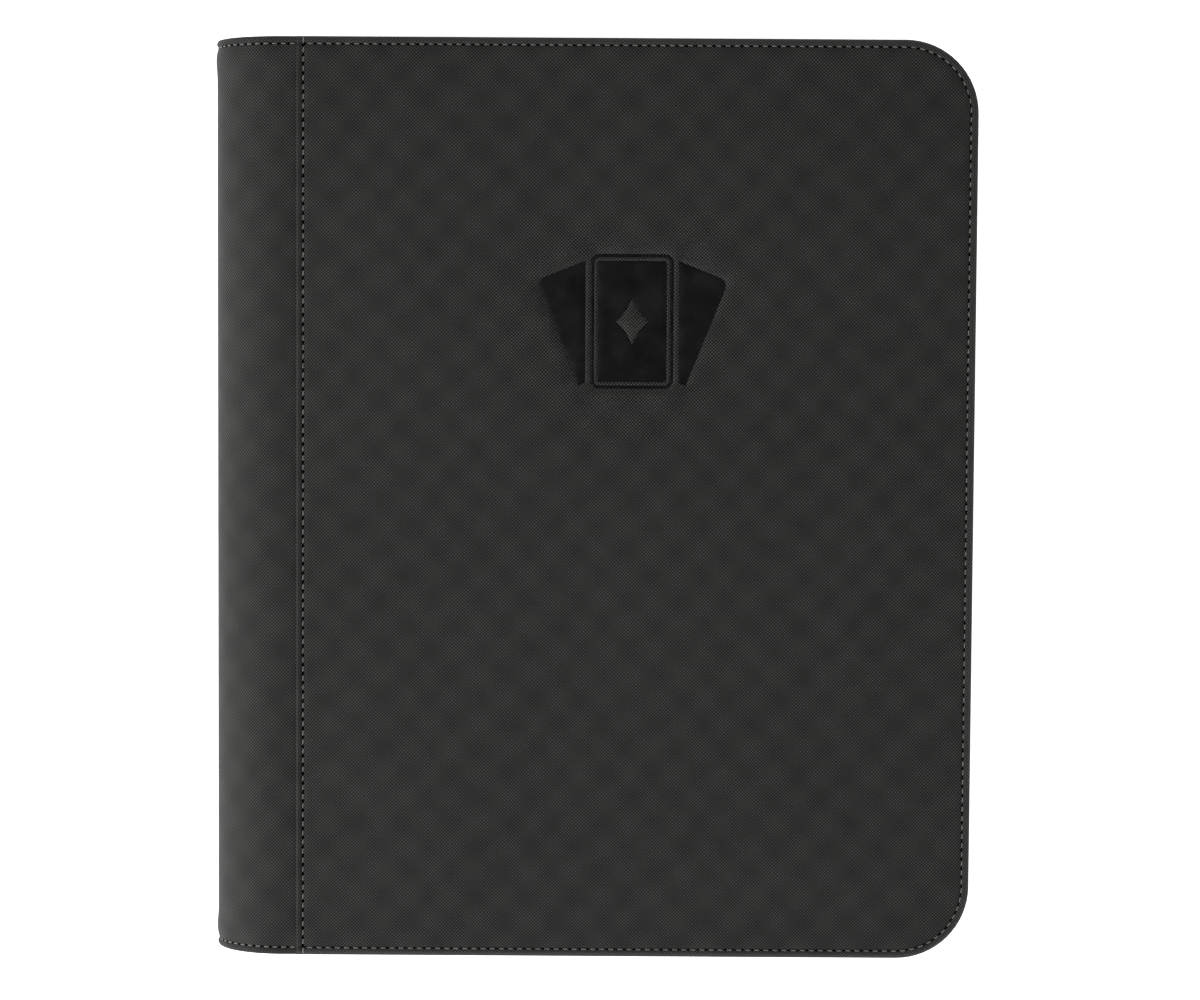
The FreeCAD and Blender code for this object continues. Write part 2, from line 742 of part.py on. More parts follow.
def pull_tab():
    """A moulded tab with rounded corners and grip grooves, and an eye round the far bar."""
    axis_x, axis_y = "link_reach - pull_axis", f"-({PLATE_FACE} + pull_drop)"
    blank = box(
        "tab_blank",
        "tab_length",
        "tab_gauge",
        "tab_width",
        f"{axis_x} + tab_root",
        f"{axis_y} - tab_gauge / 2",
        f"{MIDDLE} - tab_width / 2",
    )
    tongue = box(
        "tab_tongue",
        "tab_root + 1",
        "tab_gauge",
        "eye_width",
        axis_x,
        f"{axis_y} - tab_gauge / 2",
        f"{MIDDLE} - eye_width / 2",
    )
    eye = rod("tab_eye", "eye_radius", "eye_width", axis_x, axis_y)
    hole = rod("tab_hole", "link_wire / 2 + eye_clear", "eye_width + 1", axis_x, axis_y)
    tools = [hole]
    for index in range(5):
        groove = box(
            f"tab_groove_{index + 1}",
            "0.9",
            "0.7",
            "tab_width - 2.4",
            f"{axis_x} + tab_root + tab_length - 4 - 2 * {index}",
            f"{axis_y} - tab_gauge / 2 - 0.4",
            f"{MIDDLE} - tab_width / 2 + 1.2",
        )
        tools.append(groove)
    whole = fuse("tab_fused", rounded_plate(blank, 2.6), tongue, eye)
    keep(cut("tab_finished", whole, fuse("tab_tools", *tools)), "zip_pull_tab")


def rod(name, radius, length, x, y):
    """A round bar along Z, centred on the chain's middle plane."""
    bar = doc.addObject("Part::Cylinder", name)
    bind(bar, Radius=radius, Height=length)
    bind(bar, Placement__Base__x=x, Placement__Base__y=y)
    bind(bar, Placement__Base__z=f"{MIDDLE} - ({length}) / 2")
    return bar


# ---------------------------------------------------------------- build and write

for side in SIDES:
    build_cover(side)
keep(emblem("emblem", "emblem_gauge"), "front_emblem")
for number_of, (angle, fold) in enumerate(zip(strip_angles(), fold_lines()), start=1):
    spine_strip(number_of, angle, fold)
page_binding()
build_pages()
slider_body()
slider_bridge()
pull_link()
pull_tab()
doc.recompute()

broken = [o.Name for o in doc.Objects if {"Invalid", "Error"} & set(o.State)]
if broken:
    raise RuntimeError(f"these objects failed: {broken}")
for part in parts:
    if part.Shape.isNull() or not part.Shape.isValid() or not part.Shape.Solids:
        raise RuntimeError(f"{part.Label} has no valid solid")

os.makedirs("parts", exist_ok=True)
for part in parts:
    part.Shape.exportStep(f"parts/{part.Label}.step")

for index, (x, z) in enumerate(fold_lines(), start=1):
    print(f"fold {index}: x {x:.3f} z {z:.3f}")
for part in parts:
    limits = part.Shape.BoundBox
    print(
        f"{part.Label}: {len(part.Shape.Solids)} solids, {part.Shape.Volume:.1f} mm3, "
        f"x {limits.XMin:.2f} {limits.XMax:.2f} y {limits.YMin:.2f} {limits.YMax:.2f} "
        f"z {limits.ZMin:.2f} {limits.ZMax:.2f}"
    )
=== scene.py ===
"""The look of the zip-round trading card binder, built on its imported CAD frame."""

import json
import math
from math import cos, hypot, pi, sin

import bmesh
import bpy
import numpy as np
from mathutils import Matrix, Vector, geometry


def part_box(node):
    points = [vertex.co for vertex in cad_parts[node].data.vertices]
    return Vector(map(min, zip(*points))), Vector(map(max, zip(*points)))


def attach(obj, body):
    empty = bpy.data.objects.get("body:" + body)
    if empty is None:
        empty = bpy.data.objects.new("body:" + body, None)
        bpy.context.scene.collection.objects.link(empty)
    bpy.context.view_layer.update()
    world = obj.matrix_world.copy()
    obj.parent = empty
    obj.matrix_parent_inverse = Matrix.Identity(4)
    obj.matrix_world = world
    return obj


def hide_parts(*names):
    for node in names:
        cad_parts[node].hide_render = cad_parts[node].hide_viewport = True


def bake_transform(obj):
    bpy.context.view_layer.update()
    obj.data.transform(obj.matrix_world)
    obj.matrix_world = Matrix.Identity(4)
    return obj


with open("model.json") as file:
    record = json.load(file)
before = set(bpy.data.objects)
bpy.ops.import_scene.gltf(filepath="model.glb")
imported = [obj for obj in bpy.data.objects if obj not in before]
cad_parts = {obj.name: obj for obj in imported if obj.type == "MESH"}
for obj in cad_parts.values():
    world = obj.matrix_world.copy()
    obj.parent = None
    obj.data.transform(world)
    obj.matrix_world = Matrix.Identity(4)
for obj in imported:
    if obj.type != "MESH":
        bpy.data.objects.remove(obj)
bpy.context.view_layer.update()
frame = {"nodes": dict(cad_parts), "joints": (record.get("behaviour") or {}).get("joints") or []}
MM = 0.001

# ---- sizes from the frame

PANEL_LOW, PANEL_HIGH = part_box("front_panel_fabric")
HALF_Y, FORE_X, INNER_X, TOP = PANEL_HIGH.y, PANEL_HIGH.x, PANEL_LOW.x, PANEL_HIGH.z
SEAM_X = INNER_X + 2.9 * MM
MIDDLE = TOP / 2
SPINE_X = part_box("spine_fabric_3")[0].x
CORNER = 27 * MM
FOLDS = [
    Vector(joint["pos_m"])
    for joint in sorted(frame["joints"], key=lambda j: j["name"])
    if joint["name"].startswith("spine_fold_")
]
LAST_FOLD = len(FOLDS) - 1
SIDES = ("front", "back")
STITCH_INSET = 2.8 * MM
STITCH_PITCH = 3.4 * MM
FIELD_INSET = 12 * MM
HEM_DROP = 2.9 * MM
SEAM_STITCH_X = SEAM_X + 2.35 * MM
STEP = 0.9 * MM
MOTTLE = 13 * MM
CROWN = {"front": 1.0 * MM, "back": 0.0}

# edge of a padded cover from under the hem, over the lip and the stitched groove, to the
# field: (inset from the outline, height against the cover's face)
LIP = [
    (4.2, -2.90), (3.0, -3.0), (1.8, -2.98), (0.9, -2.8), (0.35, -2.35), (0.08, -1.85),
    (0.0, -1.6), (0.06, -1.3), (0.24, -1.02), (0.55, -0.74), (1.0, -0.44), (1.5, -0.2),
    (1.9, -0.16), (2.25, -0.4), (2.52, -0.68), (2.8, -0.8), (3.05, -0.74), (3.4, -0.54),
    (4.0, -0.3), (5.0, -0.13), (6.8, -0.03), (9.2, 0.0), (12.0, 0.02),
]
LIP_NOSE = 6  # where the lip reaches furthest out
# the folded edge over the spine cloth and the groove of its top stitch: (from the fold, height)
SEAM = [
    (0.0, -0.24), (0.15, -0.06), (0.4, 0.06), (0.75, 0.1), (1.2, 0.04), (1.6, -0.12),
    (1.9, -0.36), (2.08, -0.48), (2.35, -0.5), (2.62, -0.48), (2.8, -0.38), (3.15, -0.16),
    (3.9, -0.03), (5.2, 0.02), (7.5, 0.03),
]
# the wall of the folded edge: (offset along X, drop from the face)
FOLD_WALL = [
    (-0.1, -0.38), (-0.16, -0.62), (-0.1, -0.86), (0.1, -1.1), (0.5, -1.4), (0.5, -2.9),
]
UP = Vector((0, 0, 1))
TURN = Matrix.Translation((0, 0, TOP)) @ Matrix.Rotation(pi, 4, "X")


# ---- mesh helpers


class Build:
    """Collects vertices, faces and one UV a vertex, and makes an object of them."""

    def __init__(self):
        self.verts, self.uvs, self.faces, self.slots = [], [], [], []

    def add(self, points, uvs=None):
        start = len(self.verts)
        points = [tuple(p) for p in points]
        self.verts += points
        self.uvs += [tuple(u) for u in uvs] if uvs is not None else [p[:2] for p in points]
        return start

    def face(self, corners, slot=0):
        self.faces.append(tuple(corners))
        self.slots.append(slot)

    def grid(self, points, uvs=None, wrap=False, flip=False, slot=0):
        """points[row][column]; wrap joins the last row to the first."""
        rows, columns = len(points), len(points[0])
        flat = [p for row in points for p in row]
        start = self.add(flat, None if uvs is None else [u for row in uvs for u in row])
        for i in range(rows if wrap else rows - 1):
            for j in range(columns - 1):
                a, b = start + i * columns + j, start + i * columns + j + 1
                c = start + (i + 1) % rows * columns + j + 1
                quad = (a, b, c, c - 1)
                self.face(quad[::-1] if flip else quad, slot)
        return start

    def capped(self, rows, uvs):
        """A closed band whose section is the rows' loop, with a face over each end."""
        start = self.grid(rows, uvs, wrap=True)
        count, last = len(rows[0]), len(rows[0]) - 1
        self.face([start + i * count for i in range(len(rows))])
        self.face([start + i * count + last for i in reversed(range(len(rows)))])

    def make(self, name, materials, merge=0.001 * MM, turned=False, sharp=None):
        mesh = bpy.data.meshes.new(name)
        mesh.from_pydata(self.verts, [], self.faces)
        mesh.polygons.foreach_set("material_index", self.slots)
        layer = mesh.uv_layers.new(name="UVMap")
        index = np.zeros(len(mesh.loops), np.int32)
        mesh.loops.foreach_get("vertex_index", index)
        layer.data.foreach_set("uv", np.array(self.uvs, np.float32)[index].ravel())
        if sharp is not None:
            tidy(mesh, merge, sharp)
        mesh.validate()
        return as_object(name, mesh, materials, turned)


def as_object(name, mesh, materials=(), turned=False):
    """Puts a smooth mesh in the scene; turned lays a front piece over onto the back cover."""
    mesh.polygons.foreach_set("use_smooth", [True] * len(mesh.polygons))
    for material in materials:
        mesh.materials.append(material)
    if turned:
        mesh.transform(TURN)
    mesh.update()
    obj = bpy.data.objects.new(name, mesh)
    bpy.context.scene.collection.objects.link(obj)
    return obj


def tidy(mesh, merge, sharp):
    """Joins coincident points, faces all outwards, and creases edges over sharp degrees."""
    work = bmesh.new()
    work.from_mesh(mesh)
    if merge:
        bmesh.ops.remove_doubles(work, verts=work.verts, dist=merge)
    bmesh.ops.recalc_face_normals(work, faces=work.faces)
    for edge in work.edges:
        if len(edge.link_faces) == 2 and edge.calc_face_angle(0) > math.radians(sharp):
            edge.smooth = False
    work.to_mesh(mesh)
    work.free()


def around(point, one, two, radius, sides):
    """A ring of vertices about a point, in the plane of two directions."""
    turns = (2 * pi * k / sides for k in range(sides))
    return [tuple(point + (one * cos(t) + two * sin(t)) * radius) for t in turns]


def bands(rings, sides, flip=False):
    """Faces between each ring of vertices and the next one listed."""
    faces = []
    for near, far in zip(rings, rings[1:]):
        for k in range(sides):
            after = (k + 1) % sides
            quad = (near * sides + k, near * sides + after, far * sides + after, far * sides + k)
            faces.append(quad[:1] + quad[:0:-1] if flip else quad)
    return faces


def tube(points, sizes, sides):
    """Vertices and faces of a closed tube along points, of a radius for each."""
    points = [Vector(p) for p in points]
    last = len(points) - 1
    verts = []
    for i, point in enumerate(points):
        ahead = (points[min(i + 1, last)] - points[max(i - 1, 0)]).normalized()
        side = ahead.cross(UP).normalized()
        verts += around(point, side, side.cross(ahead), sizes[i], sides)
    faces = bands(range(last + 1), sides, flip=True)
    faces.append(tuple(range(sides)))
    faces.append(tuple(last * sides + k for k in reversed(range(sides))))
    return verts, faces


def ring_tube(points, radius, sides):
    """A closed tube round a flat loop of points."""
    points = [Vector(p) for p in points]
    count = len(points)
    centre = sum(points, Vector()) / count
    verts = []
    for i, point in enumerate(points):
        ahead = (points[(i + 1) % count] - points[i - 1]).normalized()
        out = (point - centre) - ahead * (point - centre).dot(ahead)
        out.normalize()
        verts += around(point, out, ahead.cross(out), radius, sides)
    return verts, bands([*range(count), 0], sides)


def stamp(name, template, places, material, turned=False):
    """Copies a small template mesh to each place: (origin, x axis, y axis, z axis)."""
    verts, faces = template
    base = np.array(verts)
    out, copies = [], []
    for number, (origin, *axes) in enumerate(places):
        out.append(base @ np.array([tuple(a) for a in axes]) + np.array(tuple(origin)))
        shift = number * len(base)
        copies += [tuple(i + shift for i in face) for face in faces]
    mesh = bpy.data.meshes.new(name)
    mesh.from_pydata(np.concatenate(out).tolist(), [], copies)
    return as_object(name, mesh, [material], turned)


def stand_in(piece, body, slot, *nodes):
    """The piece rides on the body and replaces the nodes; the slot is not used."""
    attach(piece, body)
    if nodes:
        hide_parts(*nodes)


def travelled(points):
    """The length along a line of points up to each of them."""
    out = [0.0]
    for a, b in zip(points, points[1:]):
        out.append(out[-1] + math.dist(a, b))
    return out


def smoothstep(t):
    t = min(max(t, 0.0), 1.0)
    return t * t * (3 - 2 * t)


# ---- materials


class Nodes:
    """Short calls for the node trees."""

    def __init__(self, tree):
        self.tree = tree

    def node(self, kind, **settings):
        node = self.tree.nodes.new(kind)
        for key, value in settings.items():
            setattr(node, key, value)
        return node

    def put(self, node, socket, value):
        if isinstance(value, bpy.types.NodeSocket):
            self.tree.links.new(value, node.inputs[socket])
        else:
            node.inputs[socket].default_value = value

    def fill(self, node, sockets, values):
        for socket, value in zip(sockets, values):
            self.put(node, socket, value)
        return node.outputs[0]

    def math(self, operation, a, b=0.0, c=0.0):
        return self.fill(self.node("ShaderNodeMath", operation=operation), range(3), (a, b, c))

    def wave(self, value, rate):
        return self.math("SINE", self.math("MULTIPLY", value, rate))

    def mix(self, factor, dark, light):
        node = self.node("ShaderNodeMix", data_type="RGBA")
        self.fill(node, (0, 6, 7), (factor, (*dark, 1), (*light, 1)))
        return node.outputs[2]

    def noise(self, vector, *settings):
        """The settings are scale, detail, roughness and distortion."""
        sockets = ("Vector", "Scale", "Detail", "Roughness", "Distortion")
        return self.fill(self.node("ShaderNodeTexNoise"), sockets, (vector, *settings))

    def range(self, value, low, high, new_low=0.0, new_high=1.0):
        sockets = ("Value", "From Min", "From Max", "To Min", "To Max")
        values = (value, low, high, new_low, new_high)
        return self.fill(self.node("ShaderNodeMapRange"), sockets, values)

    def bump(self, height, distance):
        node = self.node("ShaderNodeBump")
        return self.fill(node, ("Height", "Distance", "Strength"), (height, distance, 1.0))

    def split(self, vector):
        node = self.node("ShaderNodeSeparateXYZ")
        self.put(node, 0, vector)
        return node.outputs

    def uv(self):
        vector = self.node("ShaderNodeUVMap", uv_map="UVMap").outputs[0]
        u, v, _ = self.split(vector)
        return vector, u, v

    def place(self):
        return self.node("ShaderNodeTexCoord").outputs["Object"]


def new_material(name, color, roughness, **sockets):
    """The material, the calls for its nodes, and its shader."""
    material = bpy.data.materials.new(name)
    material.use_nodes = True
    n = Nodes(material.node_tree)
    shader = material.node_tree.nodes["Principled BSDF"]
    n.put(shader, "Base Color", (*color, 1))
    n.put(shader, "Roughness", roughness)
    for socket, value in sockets.items():
        n.put(shader, socket.replace("_", " "), value)
    return material, n, shader


def cloth_material(name, dark, light, pitch, depth, roughness, sheen, mottle):
    """Plain-woven cloth: a checker of warp and weft floats with painted highlight on the raised
    floats and painted shade on the sunk ones, uneven dye and a fine fuzz.
    """
    material, n, shader = new_material(
        name, light, roughness, Sheen_Weight=sheen, Sheen_Roughness=0.3,
        Sheen_Tint=(0.9, 0.9, 0.92, 1), Specular_IOR_Level=0.16,
    )
    vector, u, v = n.uv()
    checker = n.math("MULTIPLY", n.wave(u, pi / pitch), n.wave(v, pi / pitch))
    float_rise_and_painted_shade = n.math("POWER", n.range(checker, -1.0, 1.0), 2.3)
    # a slow diamond mottle, as two crossing sets of fine yarns give
    rate = 2 * pi / (MOTTLE * math.sqrt(2))
    drift = n.range(n.noise(vector, 24, 3.0, 0.55), 0.25, 0.75, -1.7, 1.7)
    plus = n.math("MULTIPLY_ADD", n.math("ADD", u, v), rate, drift)
    minus = n.math("MULTIPLY_ADD", n.math("SUBTRACT", u, v), rate, drift)
    waves = n.math("ADD", n.math("SINE", plus), n.math("SINE", minus))
    blotch = n.range(n.noise(vector, 60, 3.0, 0.55), 0.3, 0.7, -0.10, 0.10)
    cloudy = n.range(n.noise(vector, 9, 2.0, 0.5), 0.3, 0.7, -0.07, 0.07)
    level = n.math("MULTIPLY_ADD", waves, mottle, n.math("ADD", blotch, cloudy))
    # the tone is the painted highlight and shade of the floats, times the uneven dye
    tone = n.math("MULTIPLY", float_rise_and_painted_shade, n.math("ADD", level, 1.0))
    n.put(shader, "Base Color", n.mix(tone, dark, light))
    relief = n.math("MULTIPLY_ADD", n.noise(vector, 5200, 2.0, 0.6), 0.2, float_rise_and_painted_shade)
    n.put(shader, "Normal", n.bump(relief, depth))
    return material


def thread_material(name, color):
    """Twisted thread: slanted plies with painted shade in the grooves between them, a little uneven
    in tone.
    """
    material, n, shader = new_material(name, color, 0.55, Sheen_Weight=0.2)
    place = n.place()
    x, y, z = n.split(place)
    twist = n.wave(n.math("ADD", n.math("ADD", x, y), z), 16000.0)
    fade = n.range(n.noise(place, 40, 1.0), 0.3, 0.7, 0.75, 1.2)
    # the twist's crests painted lighter and its grooves darker: painted shade between the plies,
    # times an uneven fade
    level = n.math("MULTIPLY", n.range(twist, -1.0, 1.0, 0.65, 1.12), fade)
    dark = tuple(c * 0.35 for c in color)
    n.put(shader, "Base Color", n.mix(level, dark, color))
    n.put(shader, "Normal", n.bump(twist, 0.05 * MM))
    return material


def grained_material(name, color, roughness, scale, depth, **sockets):
    """Moulded plastic, metal or board: fine grain, and uneven gloss."""
    material, n, shader = new_material(name, color, roughness, **sockets)
    place = n.place()
    grain = n.noise(place, scale, 3.0, 0.6)
    wear = n.noise(place, scale / 12, 2.0, 0.5)
    smooth, dull = max(0.05, roughness - 0.09), min(1.0, roughness + 0.09)
    n.put(shader, "Roughness", n.range(wear, 0.3, 0.7, smooth, dull))
    dark = tuple(c * 0.72 for c in color)
    bright = tuple(min(1.0, c * 1.25) for c in color)
    n.put(shader, "Base Color", n.mix(n.range(grain, 0.3, 0.7), dark, bright))
    n.put(shader, "Normal", n.bump(grain, depth))
    return material


def film_material():
    """Clear pocket film over a black sheet: glossy, with slight ripples."""
    material, n, shader = new_material(
        "pocket_film", (0.012, 0.012, 0.013), 0.2, Coat_Weight=0.6, Coat_Roughness=0.12
    )
    vector, _, _ = n.uv()
    ripple = n.noise(vector, 35, 2.0, 0.5, 0.6)
    fine = n.noise(vector, 900, 2.0, 0.5)
    n.put(shader, "Roughness", n.range(fine, 0.3, 0.7, 0.14, 0.3))
    n.put(shader, "Normal", n.bump(n.math("MULTIPLY_ADD", fine, 0.04, ripple), 0.5 * MM))
    return material


def weld_material():
    """The dull welds between the pockets, with a fine diamond stamp."""
    material, n, shader = new_material("pocket_weld", (0.02, 0.02, 0.021), 0.42)
    _, u, v = n.uv()
    rate = 2 * pi / (0.9 * MM)
    slants = (n.wave(n.math(way, u, v), rate) for way in ("ADD", "SUBTRACT"))
    dots = n.math("MULTIPLY", *slants)
    n.put(shader, "Roughness", n.range(dots, -1, 1, 0.3, 0.55))
    n.put(shader, "Normal", n.bump(dots, 0.08 * MM))
    return material


def tape_material():
    """Woven zip tape: a fine herringbone along the band."""
    material, n, shader = new_material(
        "zip_tape_weave", (0.02, 0.02, 0.02), 0.72, Sheen_Weight=0.08
    )
    vector, u, v = n.uv()
    pitch = 0.55 * MM

    def ribs_along(way):
        return n.math("ABSOLUTE", n.wave(n.math("DIVIDE", way, pitch), pi))

    ribs = ribs_along(n.math("ADD", u, n.math("PINGPONG", v, 2.2 * MM)))
    height = n.math("MULTIPLY_ADD", ribs_along(v), 0.35, ribs)
    uneven = n.math("SUBTRACT", n.noise(vector, 120, 2.0), 0.5)
    # the ribs' crests are painted lighter than the grooves between them: painted shade in the
    # weave, with uneven tone
    tone = n.math("MULTIPLY_ADD", uneven, 0.5, ribs)
    n.put(shader, "Base Color", n.mix(tone, (0.008, 0.008, 0.008), (0.03, 0.03, 0.03)))
    n.put(shader, "Normal", n.bump(height, 0.12 * MM))
    return material


WEAVE_PITCH, WEAVE_DEPTH = 0.63 * MM, 0.16 * MM
CLOTH = cloth_material(
    "cover_weave", (0.001, 0.001, 0.001), (0.066, 0.0658, 0.0625), WEAVE_PITCH, WEAVE_DEPTH,
    0.8, 0.09, 0.10,
)
# the same cloth stretched over the folded edge, painted lighter: a painted highlight for the side
# light that the outward-facing lip catches
HEM_CLOTH_PAINTED_HIGHLIGHT = cloth_material(
    "cover_hem_painted_highlight", (0.0015, 0.0015, 0.0015), (0.088, 0.0877, 0.0835), WEAVE_PITCH, WEAVE_DEPTH,
    0.8, 0.11, 0.05,
)
LINING = cloth_material(
    "lining_weave", (0.004, 0.004, 0.004), (0.030, 0.030, 0.0305), 0.38 * MM, 0.05 * MM,
    0.6, 0.25, 0.0,
)
THREAD = thread_material("stitch_thread", (0.22, 0.215, 0.2))
DARK_THREAD = thread_material("lining_thread", (0.03, 0.03, 0.03))
# near black and without gloss: painted shade in the needle holes
HOLE_PAINTED_SHADE = grained_material(
    "needle_hole_painted_shade", (0.0008, 0.0008, 0.0008), 0.95, 4000, 0.02 * MM, Specular_IOR_Level=0.0
)
EMBLEM = grained_material(
    "emblem_gloss", (0.0035, 0.0035, 0.0035), 0.38, 1400, 0.03 * MM, Specular_IOR_Level=0.28
)
BOARD = grained_material("grey_board", (0.2, 0.18, 0.15), 0.85, 900, 0.1 * MM)
CORE = grained_material("spacer_strips", (0.016, 0.016, 0.016), 0.5, 1500, 0.05 * MM)
COIL = grained_material("nylon_coil", (0.018, 0.018, 0.018), 0.32, 2500, 0.02 * MM)
METAL = grained_material("gunmetal", (0.10, 0.10, 0.105), 0.3, 3000, 0.01 * MM, Metallic=1.0)
RUBBER = grained_material("pull_moulding", (0.02, 0.02, 0.02), 0.55, 2600, 0.04 * MM)
FILM, WELD, TAPE = film_material(), weld_material(), tape_material()


# ---- outline of a cover


class Outline:
    """The cover's outline drawn in by an inset, from the spine round to the spine again."""

    def __init__(self, inset, left):
        self.inset, self.left = inset, left
        self.radius = CORNER - inset
        self.x, self.y = FORE_X - CORNER, HALF_Y - CORNER
        run, side = self.x - left, 2 * self.y
        arc = self.radius * pi / 2
        self.lengths = [run, arc, side, arc, run]
        self.total = sum(self.lengths)

    def at(self, distance):
        """(x, y) and the outward normal at that distance along the outline."""
        edge_x, edge_y = FORE_X - self.inset, HALF_Y - self.inset
        run, arc, side = self.lengths[:3]
        d = min(max(distance, 0.0), self.total)
        if d <= run:
            return Vector((self.left + d, -edge_y)), Vector((0, -1))
        d -= run
        if d <= arc:
            return self.corner(-1, d / self.radius - pi / 2)
        d -= arc
        if d <= side:
            return Vector((edge_x, d - self.y)), Vector((1, 0))
        d -= side
        if d <= arc:
            return self.corner(1, d / self.radius)
        return Vector((self.x - (d - arc), edge_y)), Vector((0, 1))

    def corner(self, sign, turn):
        out = Vector((cos(turn), sin(turn)))
        return Vector((self.x, sign * self.y)) + out * self.radius, out


def seam_drop(x):
    """Height of the seam's profile at x, against the cover's face."""
    offset = (x - SEAM_X) / MM
    if offset >= SEAM[-1][0]:
        return SEAM[-1][1] * MM * max(0.0, 1 - (offset - SEAM[-1][0]) / 30)
    return float(np.interp(offset, [s[0] for s in SEAM], [s[1] for s in SEAM])) * MM


def lip_height(inset):
    """Height of the upper side of the lip and field at an inset, against the face."""
    upper = LIP[LIP_NOSE:]
    return float(np.interp(inset / MM, [s for s, _ in upper], [z for _, z in upper])) * MM


SWELL_REACH = 34 * MM


def padding(x, y, side="front"):
    """The field swells between its sewn edges, but the back is flat where it rests."""
    swell = 1.0
    for clear in (FORE_X - FIELD_INSET - x, x - SEAM_X - 7 * MM, HALF_Y - FIELD_INSET - abs(y)):
        t = min(max(clear / SWELL_REACH, 0.0), 1.0)
        swell *= 1 - (1 - t) ** 2
    wander = sin(x * 47 + 1.3) * sin(y * 39 + 0.4)
    wander += 0.6 * sin(x * 21 - y * 33) + 0.4 * sin(x * 83 + y * 61 + 2)
    return (0.95 + 0.08 * wander) * CROWN[side] * swell


SEAM_COLUMNS = [SEAM_X + offset * MM for offset, _ in SEAM]
RUN_COLUMNS = SEAM_COLUMNS + list(np.linspace(SEAM_X + 11 * MM, FORE_X - CORNER, 46))
ARC_TURNS = np.linspace(0, pi / 2, 17)[1:-1]
SIDE_ROWS = list(np.linspace(CORNER - HALF_Y, HALF_Y - CORNER, 59))


def outline_stations(inset):
    """Points round the outline at that inset; the same stations at every inset."""
    line = Outline(inset, SEAM_X)
    out = [Vector((x, inset - HALF_Y)) for x in RUN_COLUMNS]
    out += [line.corner(-1, turn - pi / 2)[0] for turn in ARC_TURNS]
    out += [Vector((FORE_X - inset, y)) for y in SIDE_ROWS]
    out += [line.corner(1, turn)[0] for turn in ARC_TURNS]
    out += [Vector((x, HALF_Y - inset)) for x in reversed(RUN_COLUMNS)]
    return out


def profile_lengths(profile):
    """Inset that each profile point would have if the profile were laid flat."""
    flat = [profile[-1][0]]
    for (s0, z0), (s1, z1) in zip(reversed(profile[:-1]), reversed(profile[1:])):
        flat.append(flat[-1] - hypot(s1 - s0, z1 - z0))
    return list(reversed(flat))


# ---- the emblem's shapes

EMBLEM_LOW, EMBLEM_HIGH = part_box("front_emblem")
CARD_W, CARD_H, CARD_R = 31 * MM, 50 * MM, 3.5 * MM
CARD_GAP, CARD_RIM = 1.4 * MM, 1.8 * MM
FAN, PIVOT = math.radians(22), 32 * MM
EMBLEM_X = (EMBLEM_LOW.x + EMBLEM_HIGH.x) / 2
EMBLEM_Y = EMBLEM_HIGH.y - CARD_H / 2
EMBLEM_DEPTH = 0.5 * MM
EMBLEM_WALL = 0.32 * MM


def rounded_card(width, height, radius):
    out = []
    for corner, (sx, sy) in enumerate(((1, 1), (-1, 1), (-1, -1), (1, -1))):
        centre = Vector((sx * (width / 2 - radius), sy * (height / 2 - radius)))
        for k in range(7):
            turn = pi / 2 * (corner + k / 6)
            out.append(centre + Vector((cos(turn), sin(turn))) * radius)
    return out


def fanned(loop, angle):
    """The loop turned about the fan's pivot, which lies below the middle card's centre."""
    c, s = cos(angle), sin(angle)
    out = []
    for p in loop:
        x, y = p.x, p.y + PIVOT
        out.append(Vector((x * c - y * s, x * s + y * c - PIVOT)))
    return out


def clip(loop, way, limit):
    """The part of a convex loop that lies within limit along the direction way."""
    out = []
    for a, b in zip(loop, loop[1:] + loop[:1]):
        reach_a, reach_b = a.dot(way), b.dot(way)
        if reach_a <= limit:
            out.append(a)
        if (reach_a <= limit) != (reach_b <= limit):
            out.append(a.lerp(b, (limit - reach_a) / (reach_b - reach_a)))
    return out


def dense(loop, step):
    """The loop with points added so that none are further apart than step."""
    out = []
    for a, b in zip(loop, loop[1:] + loop[:1]):
        count = max(1, math.ceil((b - a).length / step))
        out += [a.lerp(b, k / count) for k in range(count)]
    return [p for p, q in zip(out, out[1:] + out[:1]) if (p - q).length > 1e-6]


def shifted(loop, distance):
    """The loop moved inwards by distance; it runs anticlockwise."""
    out = []
    for before, here, after in zip(loop[-1:] + loop[:-1], loop, loop[1:] + loop[:1]):
        one, two = (here - before).normalized(), (after - here).normalized()
        normal = Vector((-one.y - two.y, one.x + two.x))
        normal.normalize()
        lean = max(0.5, normal.dot(Vector((-one.y, one.x))))
        out.append(here + normal * distance / lean)
    return out


def drawn_in(loops, distance):
    """Each loop moved into the solid part of the emblem by distance."""
    return [(shifted(loop, -distance if hole else distance), hole) for loop, hole in loops]


def emblem_loops():
    """(loop, is a hole) for each outline of the fan of three cards."""
    left = fanned(rounded_card(CARD_W, CARD_H, CARD_R), FAN)
    left = clip(left, Vector((1, 0)), -CARD_W / 2 - CARD_GAP)
    left = clip(left, Vector((0.35, -0.94)), CARD_H / 2 - 9.5 * MM)
    right = [Vector((-p.x, p.y)) for p in reversed(left)]
    inner = CARD_W - 2 * CARD_RIM, CARD_H - 2 * CARD_RIM
    shrink = 2 * CARD_RIM + CARD_GAP
    loops = [
        (left, False),
        (right, False),
        (rounded_card(CARD_W, CARD_H, CARD_R), False),
        (rounded_card(*inner, CARD_R - CARD_RIM), True),
        (rounded_card(CARD_W - shrink, CARD_H - shrink, 1.2 * MM), False),
        (diamond(), True),
    ]
    centre = Vector((EMBLEM_X, EMBLEM_Y))
    return [(dense([p + centre for p in loop], 1.6 * MM), hole) for loop, hole in loops]


